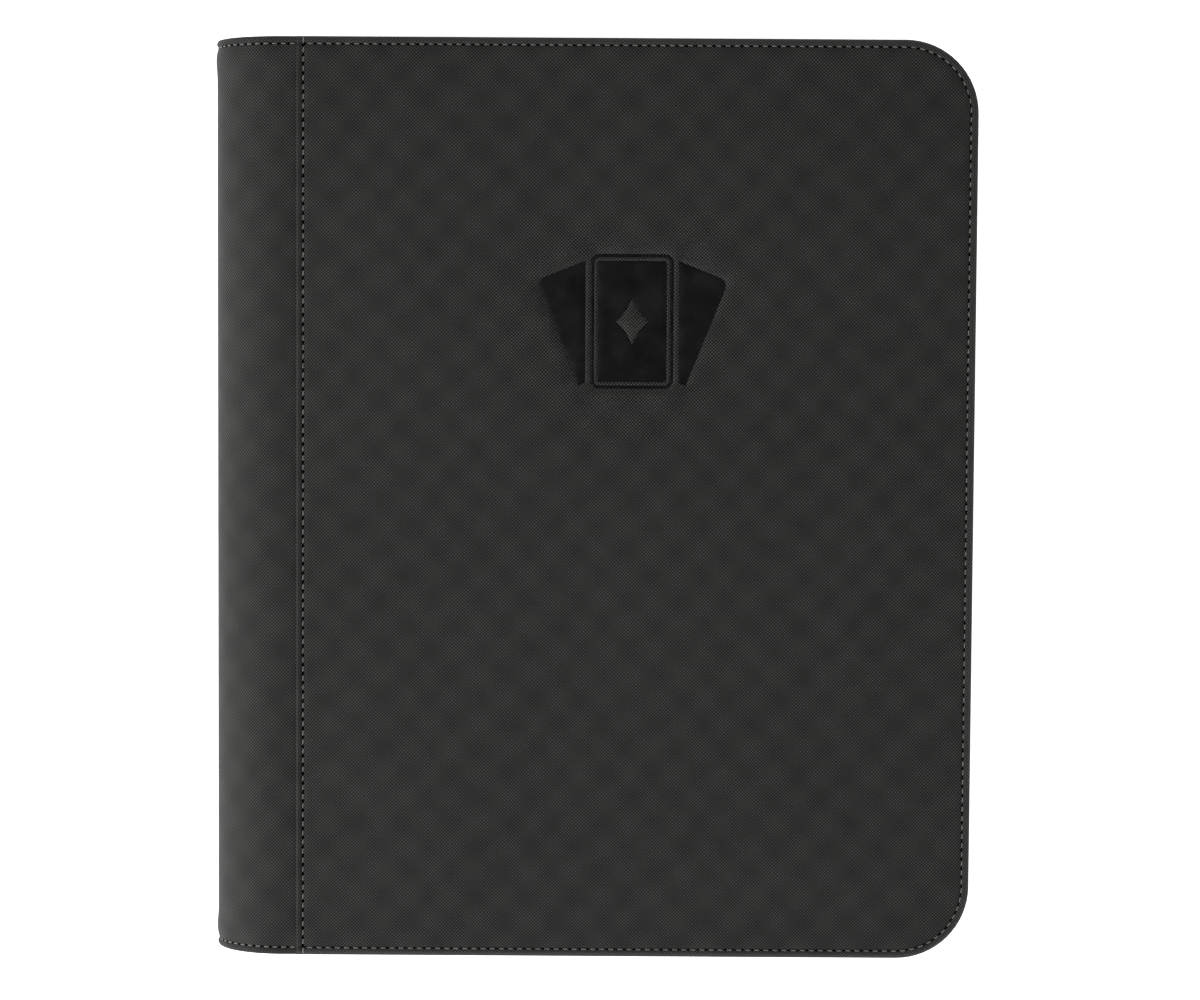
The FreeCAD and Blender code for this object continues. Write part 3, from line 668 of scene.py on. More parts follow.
def diamond():
    """A bare diamond with slightly hollow sides."""
    half_x, half_y = 5.5 * MM, 8 * MM
    out = []
    tips = [Vector(tip) for tip in ((half_x, 0), (0, half_y), (-half_x, 0), (0, -half_y))]
    for a, b in zip(tips, tips[1:] + tips[:1]):
        for k in range(6):
            t = k / 6
            out.append(a.lerp(b, t) * (1 - 0.56 * t * (1 - t)))
    return out


def inside(loop, p):
    """Whether p is inside the loop, by counting crossings."""
    hit = False
    for a, b in zip(loop, loop[1:] + loop[:1]):
        if (a.y > p.y) != (b.y > p.y):
            if p.x < a.x + (p.y - a.y) / (b.y - a.y) * (b.x - a.x):
                hit = not hit
    return hit


def in_emblem(loops, p):
    return sum(inside(loop, p) for loop, _ in loops) % 2 == 1


# ---- the padded covers


# the slot of the hem cloth, whose lighter colour is a painted highlight
HEM_SLOT = 1


def lip_z(x, z):
    """Height over the face of a lip point, which sinks with the seam's profile near the spine."""
    return z * MM + seam_drop(x) * (1.0 if z > -1 else max(0.0, 1 + (z + 1) / 1.2))


def cover_pad(side):
    """The padded, hemmed cloth of one cover, built face up."""
    build = Build()
    stations = [outline_stations(s * MM) for s, _ in LIP]
    rows = []
    for (_, z), points in zip(LIP, stations):
        rows.append([(p.x, p.y, TOP + lip_z(p.x, z)) for p in points])
    uvs = [[(p.x, p.y) for p in outline_stations(s * MM)] for s in profile_lengths(LIP)]
    edge = max(i for i, (inset, _) in enumerate(LIP) if inset * MM <= STITCH_INSET)
    build.grid(rows[:edge + 1], uvs[:edge + 1], slot=HEM_SLOT)
    build.grid(rows[edge:], uvs[edge:])
    field_part(build, stations[-1], side)
    fold_part(build, stations, side)
    under = [(p.x, p.y, TOP - HEM_DROP) for p in stations[0]]
    low = HALF_Y - LIP[0][0] * MM
    fold_x = SEAM_X + FOLD_WALL[-1][0] * MM
    under += [(fold_x, low, TOP - HEM_DROP), (fold_x, -low, TOP - HEM_DROP)]
    start = build.add(under)
    build.face(range(start, start + len(under)))
    return build.make(
        f"{side}_cover_pad", [CLOTH, HEM_CLOTH_PAINTED_HIGHLIGHT], merge=0.004 * MM, turned=side == "back", sharp=60
    )


FIELD_ROWS = np.linspace(FIELD_INSET - HALF_Y, HALF_Y - FIELD_INSET, 70)[1:-1]


def field_part(build, boundary, side):
    """The cover's field: a triangulated sheet with the emblem's shapes pressed into it."""
    points, edges, heights = [], [], []

    def put(p, z):
        points.append(Vector((p[0], p[1])))
        heights.append(z)
        return len(points) - 1

    def chain(indices, closed=False):
        edges.extend(zip(indices, indices[1:]))
        if closed:
            edges.append((indices[-1], indices[0]))

    def base(p):
        return LIP[-1][1] * MM + seam_drop(p[0]) + padding(p[0], p[1], side)

    ring = [put(p, base(p)) for p in boundary]
    chain(ring)
    left = [put((SEAM_X, y), base((SEAM_X, y))) for y in FIELD_ROWS]
    chain([ring[0]] + left + [ring[-1]])
    loops = emblem_loops() if side == "front" else []
    rims = [loop for loop, _ in loops]
    floors = [loop for loop, _ in drawn_in(loops, EMBLEM_WALL)]
    for group, depth in ((rims, 0.05 * MM), (floors, EMBLEM_DEPTH)):
        for loop in group:
            chain([put(p, base(p) - depth) for p in loop], closed=True)
    clear = 1.1 * MM
    walls = np.array([tuple(p) for loop in rims + floors for p in loop]).reshape(-1, 2)
    for x in SEAM_COLUMNS[1:]:
        chain([put((x, y), base((x, y))) for y in FIELD_ROWS])
    for x in np.linspace(SEAM_X + 11 * MM, FORE_X - FIELD_INSET, 54)[:-1]:
        for y in FIELD_ROWS:
            p = Vector((x, y))
            corner = Vector((FORE_X - CORNER, math.copysign(HALF_Y - CORNER, y)))
            off = p - corner
            beyond = off.length > CORNER - FIELD_INSET - 1.5 * MM
            if off.x > 0 and off.y * corner.y > 0 and beyond:
                continue
            if len(walls) and np.hypot(*(walls - (x, y)).T).min() < clear:
                continue
            sunk = EMBLEM_DEPTH if loops and in_emblem(loops, p) else 0.0
            put(p, base(p) - sunk)
    known, _, faces, origin, _, _ = geometry.delaunay_2d_cdt(points, edges, [], 0, 1e-7)
    solid = []
    for p, source in zip(known, origin):
        solid.append((p.x, p.y, TOP + (heights[source[0]] if source else base(p))))
    start = build.add(solid)
    for face in faces:
        build.face([start + i for i in face])


def fold_part(build, stations, side):
    """The wall of the folded edge, from the field's left edge down to the spine cloth."""
    low, high = (
        [(points[end].y, lip_z(points[end].x, z)) for (_, z), points in zip(LIP, stations)]
        for end in (0, -1)
    )
    field = []
    for y in FIELD_ROWS:
        field.append((y, LIP[-1][1] * MM + seam_drop(SEAM_X) + padding(SEAM_X, y, side)))
    rows = []
    for y, z in low + field + high[::-1]:
        row = [(SEAM_X, y, TOP + z)]
        for offset, drop in FOLD_WALL:
            # under the lip the wall shrinks to nothing
            top = max(z, -HEM_DROP)
            share = (top + HEM_DROP) / HEM_DROP
            height = top - (top + HEM_DROP) * min(1.0, (-drop * MM) / HEM_DROP)
            row.append((SEAM_X + offset * MM * share, y, TOP + max(height, -3 * MM)))
        rows.append(row)
    build.grid(rows)


# ---- the spine

SPINE_A = 26.5 * MM
SPINE_B = MIDDLE - STEP
SPINE_CX = SPINE_X + SPINE_A
TUCK_X = SEAM_X + 2.5 * MM
SPINE_LIP = [
    (4.2, -2.6), (3.0, -2.75), (1.8, -2.7), (0.9, -2.5), (0.35, -2.1), (0.08, -1.6),
    (0.0, -1.15), (0.07, -0.7), (0.26, -0.3), (0.6, -0.05), (1.05, 0.12), (1.5, 0.16),
    (1.95, 0.0), (2.3, -0.28), (2.55, -0.45), (2.8, -0.52), (3.05, -0.45), (3.4, -0.25),
    (4.0, 0.0), (5.2, 0.24), (7.0, 0.4), (9.0, 0.36), (11.5, 0.14), (14.5, 0.0),
]
SPINE_GROOVE = 15


def spine_point(angle):
    """Point and outward normal where the spine's tangent has turned by angle from the back."""
    nx, nz = -sin(angle), -cos(angle)
    size = hypot(SPINE_A * nx, SPINE_B * nz)
    x = SPINE_CX + SPINE_A ** 2 * nx / size
    z = MIDDLE + SPINE_B ** 2 * nz / size
    return Vector((x, 0, z)), Vector((nx, 0, nz))


STRIP_ANGLES = [0.0]
for before, after in zip(FOLDS, FOLDS[1:]):
    STRIP_ANGLES.append(math.atan2(after.z - before.z, before.x - after.x))
STRIP_ANGLES.append(pi)


def spine_columns(fold):
    """Points and normals across one fold, from one strip's middle to the next one's."""
    flat_x = (TUCK_X, SEAM_X, SPINE_CX + MM)
    out = [spine_point(a) for a in np.linspace(STRIP_ANGLES[fold], STRIP_ANGLES[fold + 1], 15)]
    if fold == 0:
        out = [(Vector((x, 0, STEP)), -UP) for x in flat_x] + out
    if fold == LAST_FOLD:
        out += [(Vector((x, 0, TOP - STEP)), UP) for x in reversed(flat_x)]
    return out


def bend(piece, fold):
    """Bakes the piece's placement into its mesh."""
    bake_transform(piece)


def spine_length_to(fold):
    """Length of the spine's curve up to the first column of a fold."""
    return sum(travelled([p for p, _ in spine_columns(k)])[-1] for k in range(fold))


def slab(name, fold, profile, half, material, shift=lambda i: 0.0):
    """A closed strip over the columns of one fold, with the profile at both its ends."""
    columns = spine_columns(fold)
    flats = profile_lengths(profile)
    edge = [(s * MM - half, z * MM, flat * MM - half) for (s, z), flat in zip(profile, flats)]
    middle = np.linspace(edge[-1][0], -edge[-1][0], 30)[1:-1]
    loop = edge + [(y, edge[-1][1], y) for y in middle]
    loop += [(-y, z, -flat) for y, z, flat in edge[::-1]]
    loop += [(y, edge[0][1], y) for y in np.linspace(-edge[0][0], edge[0][0], 24)[1:-1]]
    along = spine_length_to(fold)
    lengths = [along + length for length in travelled([p for p, _ in columns])]
    rows, uvs = [], []
    for y, depth, flat in loop:
        row = []
        for i, (p, n) in enumerate(columns):
            q = p + n * (depth + shift(i / (len(columns) - 1)))
            row.append((q.x, y, q.z))
        rows.append(row)
        uvs.append([(SEAM_X - d, flat) for d in lengths])
    build = Build()
    build.capped(rows, uvs)
    return build.make(name, [material], sharp=70)


# ---- stitches

STITCH_LENGTH = 1.95 * MM
STITCH_LEAN = 0.07
STITCH_LIFT = 0.05 * MM


def stitch_template(length, radius):
    """One stitch: a thread that rises out of one hole, lies, and dives into the next."""
    points, sizes = [], []
    for k in range(9):
        t = k / 8
        rise = sin(pi * t) ** 0.5 if 0 < t < 1 else 0.0
        points.append(((t - 0.5) * length, 0, -0.28 * MM + rise * 0.42 * MM))
        sizes.append(radius * (0.72 + 0.28 * rise))
    return tube(points, sizes, 7)


def hole_template(long, wide):
    """A needle hole: a small dished eye with a low rim."""
    verts, faces = [(0, 0, -0.02 * MM)], []
    for size, height in ((0.55, 0.03 * MM), (0.85, 0.12 * MM), (1.05, -0.08 * MM)):
        for k in range(10):
            turn = pi * k / 5
            verts.append((cos(turn) * long * size, sin(turn) * wide * size, height))
    for k in range(10):
        a, b = 1 + k, 1 + (k + 1) % 10
        faces.append((0, a, b))
        faces.append((a, a + 10, b + 10, b))
        faces.append((a + 10, a + 20, b + 20, b + 10))
    return verts, faces


STITCH = stitch_template(STITCH_LENGTH, 0.21 * MM)
HOLE_CUP = hole_template(0.8 * MM, 0.5 * MM)


def along_line(place, length, pitch):
    """Places for stitches and for the holes between them, evenly along a line."""
    count = round(length / pitch)
    pitch = length / count
    stitches = [place((k + 0.5) * pitch) for k in range(count)]
    holes = [place(k * pitch) for k in range(count + 1)]
    return stitches, holes


def put_stitches(name, stitches, holes, body=None, fold=None, turned=False):
    """A row of stitches and its needle holes, on one body or across a fold."""
    for tag, template, places, material in (
        ("thread", STITCH, stitches, THREAD),
        ("holes", HOLE_CUP, holes, HOLE_PAINTED_SHADE),
    ):
        piece = stamp(f"{name}_{tag}", template, places, material, turned=turned)
        if fold is None:
            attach(piece, body)
        else:
            bend(piece, fold)


def edge_place(line, drop):
    def place(d):
        p, out = line.at(d)
        ahead = Vector((-out.y, out.x, 0)) + Vector((out.x, out.y, 0)) * STITCH_LEAN
        ahead.normalize()
        origin = Vector((p.x, p.y, TOP + drop + seam_drop(p.x)))
        return origin, ahead, UP.cross(ahead), UP

    return place


def seam_place(d):
    """A stitch of the seam follows the cloth down over the lip at both its ends."""
    y = d - HALF_Y
    inset = HALF_Y - abs(y)
    height = seam_drop(SEAM_STITCH_X) + lip_height(inset) + STITCH_LIFT
    step = 0.3 * MM
    slope = (lip_height(inset + step) - lip_height(max(0.0, inset - step))) / (2 * step)
    slope = max(-0.6, min(0.6, slope)) * (1 if y < 0 else -1)
    ahead = Vector((STITCH_LEAN, 1, slope)).normalized()
    side = UP.cross(ahead).normalized()
    return Vector((SEAM_STITCH_X, y, TOP + height)), ahead, side, ahead.cross(side)


for side in SIDES:
    pad = cover_pad(side)
    nodes = (f"{side}_{part}" for part in ("panel_fabric", "foam", "spine_flap"))
    stand_in(pad, f"{side}_cover", "cover_cloth", *nodes)
    line = Outline(STITCH_INSET, SEAM_STITCH_X + 0.9 * MM)
    drop = lip_height(STITCH_INSET) + STITCH_LIFT
    rows = along_line(edge_place(line, drop), line.total, STITCH_PITCH)
    put_stitches(f"{side}_edge", *rows, body=f"{side}_cover", turned=side == "back")
    threads, eyes = along_line(seam_place, 2 * HALF_Y, STITCH_PITCH)
    put_stitches(f"{side}_seam", threads, eyes[1:-1], body=f"{side}_cover", turned=side == "back")


LINING_PROFILE = [(0.7, -0.3), (0.3, -0.25), (0.0, 0.0), (0.3, 0.25), (0.7, 0.3), (6.0, 0.3)]
LINING_DEPTH = 2.7 * MM
LINING_AT_COVER = 3.6 * MM


def lining_shift(fold):
    def shift(t):
        near = {0: 1 - t, LAST_FOLD: t}.get(fold, 0.0)
        return -(LINING_DEPTH + (LINING_AT_COVER - LINING_DEPTH) * smoothstep(near))

    return shift


def spine_stitches(fold):
    """Stitches along both hemmed ends of the spine, over one fold."""
    columns = spine_columns(fold)
    if fold == 0:
        columns = columns[1:]
    if fold == LAST_FOLD:
        columns = columns[:-1]
    points = [p + n * (SPINE_LIP[SPINE_GROOVE][1] * MM + STITCH_LIFT) for p, n in columns]
    normals = [n for _, n in columns]
    sums = travelled(points)
    stitches, holes = [], []
    for end in (-1, 1):
        def place(d):
            i = min(len(sums) - 2, max(0, int(np.searchsorted(sums, d) - 1)))
            t = (d - sums[i]) / (sums[i + 1] - sums[i])
            p = points[i].lerp(points[i + 1], t)
            n = normals[i].lerp(normals[i + 1], t).normalized()
            ahead = (points[i + 1] - points[i]).normalized()
            p = Vector((p.x, end * (HALF_Y - STITCH_INSET), p.z))
            return p, ahead, n.cross(ahead), n

        threads, eyes = along_line(place, sums[-1], STITCH_PITCH)
        stitches += threads
        holes += eyes[:-1]
    return stitches, holes


for fold in range(len(FOLDS)):
    pad = slab(f"spine_pad_{fold + 1}", fold, SPINE_LIP, HALF_Y, CLOTH)
    bend(pad, fold)
    lining = slab(
        f"spine_inner_{fold + 1}", fold, LINING_PROFILE, HALF_Y - 4.4 * MM, LINING,
        shift=lining_shift(fold),
    )
    bend(lining, fold)
    if fold < LAST_FOLD:
        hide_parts(f"spine_fabric_{fold + 1}", f"spine_foam_{fold + 1}")
        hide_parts(f"spine_lining_{fold + 1}")
    put_stitches(f"spine_hem_{fold + 1}", *spine_stitches(fold), fold=fold)


# ---- emblem film


def emblem_piece():
    """Smooth gloss film lying in the pressed shapes, with rounded edges."""
    build = Build()
    loops = drawn_in(emblem_loops(), EMBLEM_WALL + 0.04 * MM)
    soft = drawn_in(loops, 0.25 * MM)
    points, edges, kinds = [], [], []
    for kind, group in enumerate((loops, soft)):
        for loop, _ in group:
            first = len(points)
            points += [Vector(p) for p in loop]
            kinds += [kind] * len(loop)
            edges += [(first + k, first + (k + 1) % len(loop)) for k in range(len(loop))]
    for x in np.arange(EMBLEM_LOW.x, EMBLEM_HIGH.x, 2.5 * MM):
        for y in np.arange(EMBLEM_LOW.y, EMBLEM_HIGH.y + 3 * MM, 2.5 * MM):
            p = Vector((x, y))
            if in_emblem(soft, p):
                clear = min((p - q).length for loop, _ in soft for q in loop)
                if clear > 1.0 * MM:
                    points.append(p)
                    kinds.append(1)
    known, _, faces, origin, _, _ = geometry.delaunay_2d_cdt(points, edges, [], 0, 1e-7)
    floor = TOP - EMBLEM_DEPTH + 0.02 * MM
    top, base = [], []
    for p, source in zip(known, origin):
        raised = 0.16 * MM if source and kinds[source[0]] else 0.06 * MM
        swell = padding(p.x, p.y) + LIP[-1][1] * MM
        top.append((p.x, p.y, floor + swell + raised))
        base.append((p.x, p.y, floor + swell - 0.1 * MM))
    up, down = build.add(top), build.add(base)
    sides = {}
    for face in faces:
        centre = sum((known[i] for i in face), Vector((0, 0))) / len(face)
        if in_emblem(loops, centre):
            build.face([up + i for i in face])
            build.face([down + i for i in reversed(face)])
            sides.update(dict.fromkeys(zip(face, face[1:] + face[:1])))
    for a, b in sides:
        if (b, a) not in sides:
            build.face((up + b, up + a, down + a, down + b))
    # points in the gaps between the cards belong to no face
    used = sorted({i for face in build.faces for i in face})
    index = {old: new for new, old in enumerate(used)}
    build.verts = [build.verts[i] for i in used]
    build.uvs = [build.uvs[i] for i in used]
    build.faces = [tuple(index[i] for i in face) for face in build.faces]
    return build.make("emblem_film", [EMBLEM], sharp=50)


emblem = emblem_piece()
stand_in(emblem, "front_cover", "emblem_film", "front_emblem")


# ---- cover linings

BOARD_INSET = HALF_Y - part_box("front_board")[1].y
LINING_FACE = TOP - 5.1 * MM
LINING_STITCH_PITCH = 3.0 * MM
# from the board's edge over the rounded, stitched rim to the quilt: (inset, height)
LINING_EDGE = [
    (0.0, 0.9), (0.0, 0.45), (0.15, 0.15), (0.5, 0.0), (1.6, -0.02), (2.2, 0.1), (2.5, 0.16),
    (2.8, 0.1), (3.6, -0.04), (7.0, -0.1),
]


def cover_lining(side):
    """The lining over the board: a thin quilt with a stitched, rounded edge."""
    line = Outline(BOARD_INSET, INNER_X - 2 * MM)
    stations = []
    for inset, drop in LINING_EDGE:
        row = []
        for d in np.linspace(0, line.total, 260):
            p, out = line.at(d)
            p = p - out * inset * MM
            row.append((p.x, p.y, LINING_FACE + drop * MM + lining_rise(p.x)))
        stations.append(row)
    build = Build()
    build.grid(stations)
    points = [Vector(p[:2]) for p in stations[-1]]
    count = len(points)
    edges = [(k, (k + 1) % count) for k in range(count)]
    columns = [*np.linspace(line.left, INNER_X + 12 * MM, 12), *np.linspace(-0.09, 0.118, 24)]
    for x in columns:
        for y in np.linspace(-0.152, 0.152, 36):
            points.append(Vector((x + 0.1 * MM, y)))
    known, _, faces, _, _, _ = geometry.delaunay_2d_cdt(points, edges, [], 0, 1e-7)
    start = build.add([(p.x, p.y, LINING_FACE - 0.1 * MM + lining_rise(p.x)) for p in known])
    for triangle in faces:
        build.face([start + i for i in triangle])
    start = build.add(stations[0])
    build.face(range(start, start + len(stations[0])))
    return build.make(
        f"{side}_inner_lining", [LINING], merge=0.002 * MM, turned=side == "back", sharp=60
    )


def lining_rise(x):
    """The lining steps out past the board's edge, down into the spine."""
    return 1.2 * MM * (1 - smoothstep((x - (INNER_X + 3 * MM)) / (6 * MM)))


def lining_place(line):
    def place(d):
        p, out = line.at(d)
        ahead = Vector((-out.y, out.x, 0))
        z = LINING_FACE + STITCH_LIFT + lining_rise(p.x)
        return Vector((p.x, p.y, z)), ahead, ahead.cross(UP), -UP

    return place


for side in SIDES:
    stand_in(cover_lining(side), f"{side}_cover", "lining_cloth", f"{side}_lining")
    line = Outline(BOARD_INSET + 2.5 * MM, INNER_X + 8 * MM)
    threads, _ = along_line(lining_place(line), line.total, LINING_STITCH_PITCH)
    piece = stamp(
        f"{side}_lining_stitch", stitch_template(2.3 * MM, 0.18 * MM), threads, DARK_THREAD,
        turned=side == "back",
    )
    stand_in(piece, f"{side}_cover", "lining_cloth")


# ---- zip tape and coil

TAPE_INSET, TAPE_DROP = 6.7 * MM, 3.0 * MM
TAPE_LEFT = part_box("front_zip_tape")[0].x
TAPE_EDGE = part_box("front_zip_tape")[0].z
COIL_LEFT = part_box("back_zip_coil")[0].x
TOOTH_PITCH = 1.55 * MM
COIL_WIRE = 0.4 * MM


def zip_tape(side):
    """A band sewn under the hem that turns down to the chain, with a beaded edge."""
    line = Outline(TAPE_INSET, TAPE_LEFT)
    high = TOP - TAPE_DROP
    outer = [(-5.6, 0.0), (-5.6, -0.6), (-1.1, -0.62), (-0.35, -0.75), (-0.05, -1.1), (0.0, -1.6)]
    drop = (high - TAPE_EDGE) / MM
    face = [(0.0, -d) for d in np.linspace(2.4, drop - 2.2, 7)]
    bead = [(0.0, 1.9 - drop), (-0.12, 1.5 - drop), (-0.14, 1.1 - drop), (0.0, 0.8 - drop),
            (0.02, 0.25 - drop), (0.18, -drop), (0.42, -drop), (0.58, 0.25 - drop)]
    inside_face = [(0.6, -d) for d in np.linspace(drop - 0.9, 1.4, 7)]
    closing = [(0.6, -0.4), (0.3, -0.04), (-0.4, 0.0)]
    loop = outer + face + bead + inside_face + closing
    lengths = travelled(loop)
    steps = sorted(
        set(np.linspace(0, line.total, 150))
        | set(line.lengths[0] + np.linspace(0, line.lengths[1], 16))
        | set(sum(line.lengths[:3]) + np.linspace(0, line.lengths[1], 16))
    )
    rows, uvs = [], []
    for (inwards, z), length in zip(loop, lengths):
        row = []
        for d in steps:
            p, out = line.at(d)
            p = p - out * inwards * MM
            row.append((p.x, p.y, high + z * MM))
        rows.append(row)
        uvs.append([(d, length * MM) for d in steps])
    build = Build()
    build.capped(rows, uvs)
    return build.make(f"{side}_tape_band", [TAPE], turned=side == "back", sharp=60)


def coil_template(lean):
    """One loop of the nylon coil, across the chain, with its head at the meshing side."""
    low, high, deep = -2.95 * MM, 0.12 * MM, 1.2 * MM
    half = deep / 2
    loop = []
    for k in range(7):
        turn = -pi / 2 + pi * k / 6
        loop.append((half + sin(turn) * half, high - half + cos(turn) * half * 1.15))
    for k in range(5):
        turn = pi / 2 + pi * k / 4
        loop.append((half + sin(turn) * half, low + half + cos(turn) * half))
    points = [(lean * (y / deep - 0.5) * 2, y, z) for y, z in loop]
    return ring_tube(points, COIL_WIRE, 6)


def coil_row(shift):
    line = Outline(TAPE_INSET, COIL_LEFT)
    places = []
    for k in range(int(line.total / TOOTH_PITCH) - 1):
        p, out = line.at((k + 0.5) * TOOTH_PITCH + shift)
        outward = Vector((out.x, out.y, 0))
        origin = Vector((p.x, p.y, MIDDLE)) + outward * COIL_WIRE
        places.append((origin, Vector((-out.y, out.x, 0)), outward, -UP))
    return places


def build_coils():
    """Both rows of loops; the front row starts beside the parked slider."""
    for side in SIDES:
        places = coil_row(TOOTH_PITCH / 2 if side == "front" else 0.0)
        if side == "front":
            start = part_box("zip_slider_body")[1].x + 0.8 * MM
            places = [p for p in places if p[0].y > 0 or p[0].x > start]
        else:
            places = [
                (Vector((o.x, -o.y, o.z)), Vector((-x.x, x.y, 0)), Vector((y.x, -y.y, 0)), z)
                for o, x, y, z in places
            ]
        piece = stamp(
            f"{side}_coil_loops", coil_template(0.32 * MM), places, COIL, turned=side == "back"
        )
        stand_in(piece, f"{side}_cover", "zip_coil", f"{side}_zip_coil")


for side in SIDES:
    stand_in(zip_tape(side), f"{side}_cover", "zip_tape", f"{side}_zip_tape")
build_coils()


# ---- pages and binding

WELD_HALF = 1.2 * MM
PAGE_ROOT, PAGE_FORE, PAGE_END = 12 * MM, 2.4 * MM, 3 * MM
SHEET_HALF = 0.08 * MM
FILM_SLOT, WELD_SLOT = 0, 1


def divided(start, size, rise, shoulder):
    """Places across one pocket: its welds, the rise beside each, its shoulders and middle."""
    near = [0, WELD_HALF, rise, shoulder]
    return [start + d for d in near] + [start + size / 2] + [
        start + size - d for d in reversed(near[1:])
    ]


def page(node):
    """A nine-pocket sheet: pockets swell a little between the welds on both faces."""
    low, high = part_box(node)
    middle = (low.z + high.z) / 2
    columns = [low.x, low.x + 1 * MM, low.x + PAGE_ROOT / 2]
    width = (high.x - low.x - PAGE_ROOT - PAGE_FORE) / 3
    for c in range(3):
        columns += divided(low.x + PAGE_ROOT + c * width, width, 1.7 * MM, 6 * MM)
    columns += [high.x - PAGE_FORE, high.x - PAGE_FORE / 2, high.x]
    rows = [low.y]
    tall = (high.y - low.y - 2 * PAGE_END) / 3
    for r in range(3):
        rows += divided(low.y + PAGE_END + r * tall, tall, 1.8 * MM, 7 * MM)
    rows += [high.y - PAGE_END, high.y]
    columns, rows = sorted(set(columns)), sorted(set(rows))

    def swell(x, y):
        u = (x - low.x - PAGE_ROOT) / width
        v = (y - low.y - PAGE_END) / tall
        if not (0 < u < 3 and 0 < v < 3):
            return 0.0
        u, v = u % 1.0 * width, v % 1.0 * tall
        edge = min(u, width - u, v, tall - v)
        plateau = smoothstep((edge - WELD_HALF) / (0.6 * MM))
        lift = smoothstep((edge - WELD_HALF) / (20 * MM))
        return (0.10 * plateau + 0.07 * lift) * MM

    build = Build()
    top, base = [], []
    for y in rows:
        top.append([(x, y, middle + SHEET_HALF + swell(x, y)) for x in columns])
        base.append([(x, y, middle - SHEET_HALF - swell(x, y)) for x in columns])
    count = len(columns)
    up, down = build.grid(top), build.grid(base, flip=True)

    def wall(a, b, above, below):
        build.face((above + a, above + b, below + b, below + a))

    last = (len(rows) - 1) * count
    for j in range(count - 1):
        wall(j, j + 1, down, up)
        wall(last + j, last + j + 1, up, down)
    for i in range(0, last, count):
        wall(i, i + count, up, down)
        wall(i + count - 1, i + 2 * count - 1, down, up)
    for k, face in enumerate(build.faces):
        centre = np.mean([build.verts[i] for i in face], axis=0)
        build.slots[k] = FILM_SLOT if swell(centre[0], centre[1]) > 0.09 * MM else WELD_SLOT
    return build.make(f"{node}_sleeve", [FILM, WELD], merge=0.0, sharp=60)


for index in range(1, 21):
    node = f"page_{index:02d}"
    stand_in(page(node), node, "page_film", node)


def extrude_profile(name, profile, half, material, rounding):
    """A prism along Y from (x, z) points, its ends drawn in a little."""
    build = Build()
    centre = Vector((sum(p[0] for p in profile), sum(p[1] for p in profile))) / len(profile)
    rows, uvs = [], []
    lengths = travelled(profile)
    stations = [(-half, 1.0), (rounding * 0.3 - half, 0.35), (rounding - half, 0.0)]
    stations += [(y, 0.0) for y in np.linspace(rounding - half, half - rounding, 40)[1:-1]]
    stations += [(half - rounding, 0.0), (half - rounding * 0.3, 0.35), (half, 1.0)]
    for y, pull in stations:
        row = []
        for x, z in profile:
            out = Vector((x, z)) - centre
            shrink = 1 - pull * rounding / max(out.length, rounding * 2)
            row.append((centre.x + out.x * shrink, y, centre.y + out.y * shrink))
        rows.append(row + row[:1])
        uvs.append([(l, y) for l in lengths] + [(lengths[-1], y)])
    build.grid(rows, uvs)
    count = len(profile) + 1
    build.face(range(len(profile)))
    last = (len(rows) - 1) * count
    build.face([last + k for k in reversed(range(len(profile)))])
    return build.make(name, [material], sharp=40)


def binding():
    """The spacer strips that step the pages out, and the cloth wrapped round their root."""
    low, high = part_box("page_binding_core")
    shoulder = high.x - 7.7 * MM
    pitch = 0.9 * MM
    upper = [(low.x, 4.5 * MM), (low.x + 5.1 * MM, 4.5 * MM), (low.x + 5.1 * MM, 9.0 * MM),
             (low.x + 5.4 * MM, 9.3 * MM)]
    for k in range(10):
        level = (10 - k) * pitch + (0.3 * MM if k == 0 else 0.0)
        reach = shoulder + k * 0.87 * pitch
        upper += [
            (reach - 0.12 * MM, level), (reach, level - 0.1 * MM),
            (reach, level - pitch + 0.1 * MM),
        ]
    profile = [(x, MIDDLE + z) for x, z in upper] + [(x, MIDDLE - z) for x, z in upper[::-1]]
    core = extrude_profile("binding_strips", profile, high.y, CORE, 0.6 * MM)
    low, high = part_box("page_binding_wrap")
    upper = [
        (low.x, 5.0), (low.x + 3.2 * MM, 5.0), (low.x + 4.3 * MM, 5.6), (low.x + 4.5 * MM, 6.8),
        (low.x + 4.5 * MM, 9.1), (low.x + 4.9 * MM, 9.65), (low.x + 5.5 * MM, 9.85),
        (high.x - 2.2 * MM, 9.85), (high.x - 1.4 * MM, 9.7), (high.x - 0.8 * MM, 9.85),
        (high.x - 0.2 * MM, 9.75), (high.x, 9.5), (high.x - 0.1 * MM, 9.25), (high.x - 2 * MM, 9.2),
        (low.x + 5.2 * MM, 9.2), (low.x + 5.0 * MM, 8.9), (low.x + 5.0 * MM, 5.2),
        (low.x + 4.6 * MM, 4.55), (low.x + 0.4 * MM, 4.5),
    ]
    upper = [(x, z * MM) for x, z in upper]
    profile = [(x, MIDDLE + z) for x, z in upper] + [(x, MIDDLE - z) for x, z in upper[::-1]]
    wrap = extrude_profile("binding_cloth", profile, high.y, LINING, 0.3 * MM)
    return core, wrap


core, wrap = binding()
stand_in(core, "spine_3", "binding_core", "page_binding_core")
stand_in(wrap, "spine_3", "lining_cloth", "page_binding_wrap")


# ---- slider and small parts


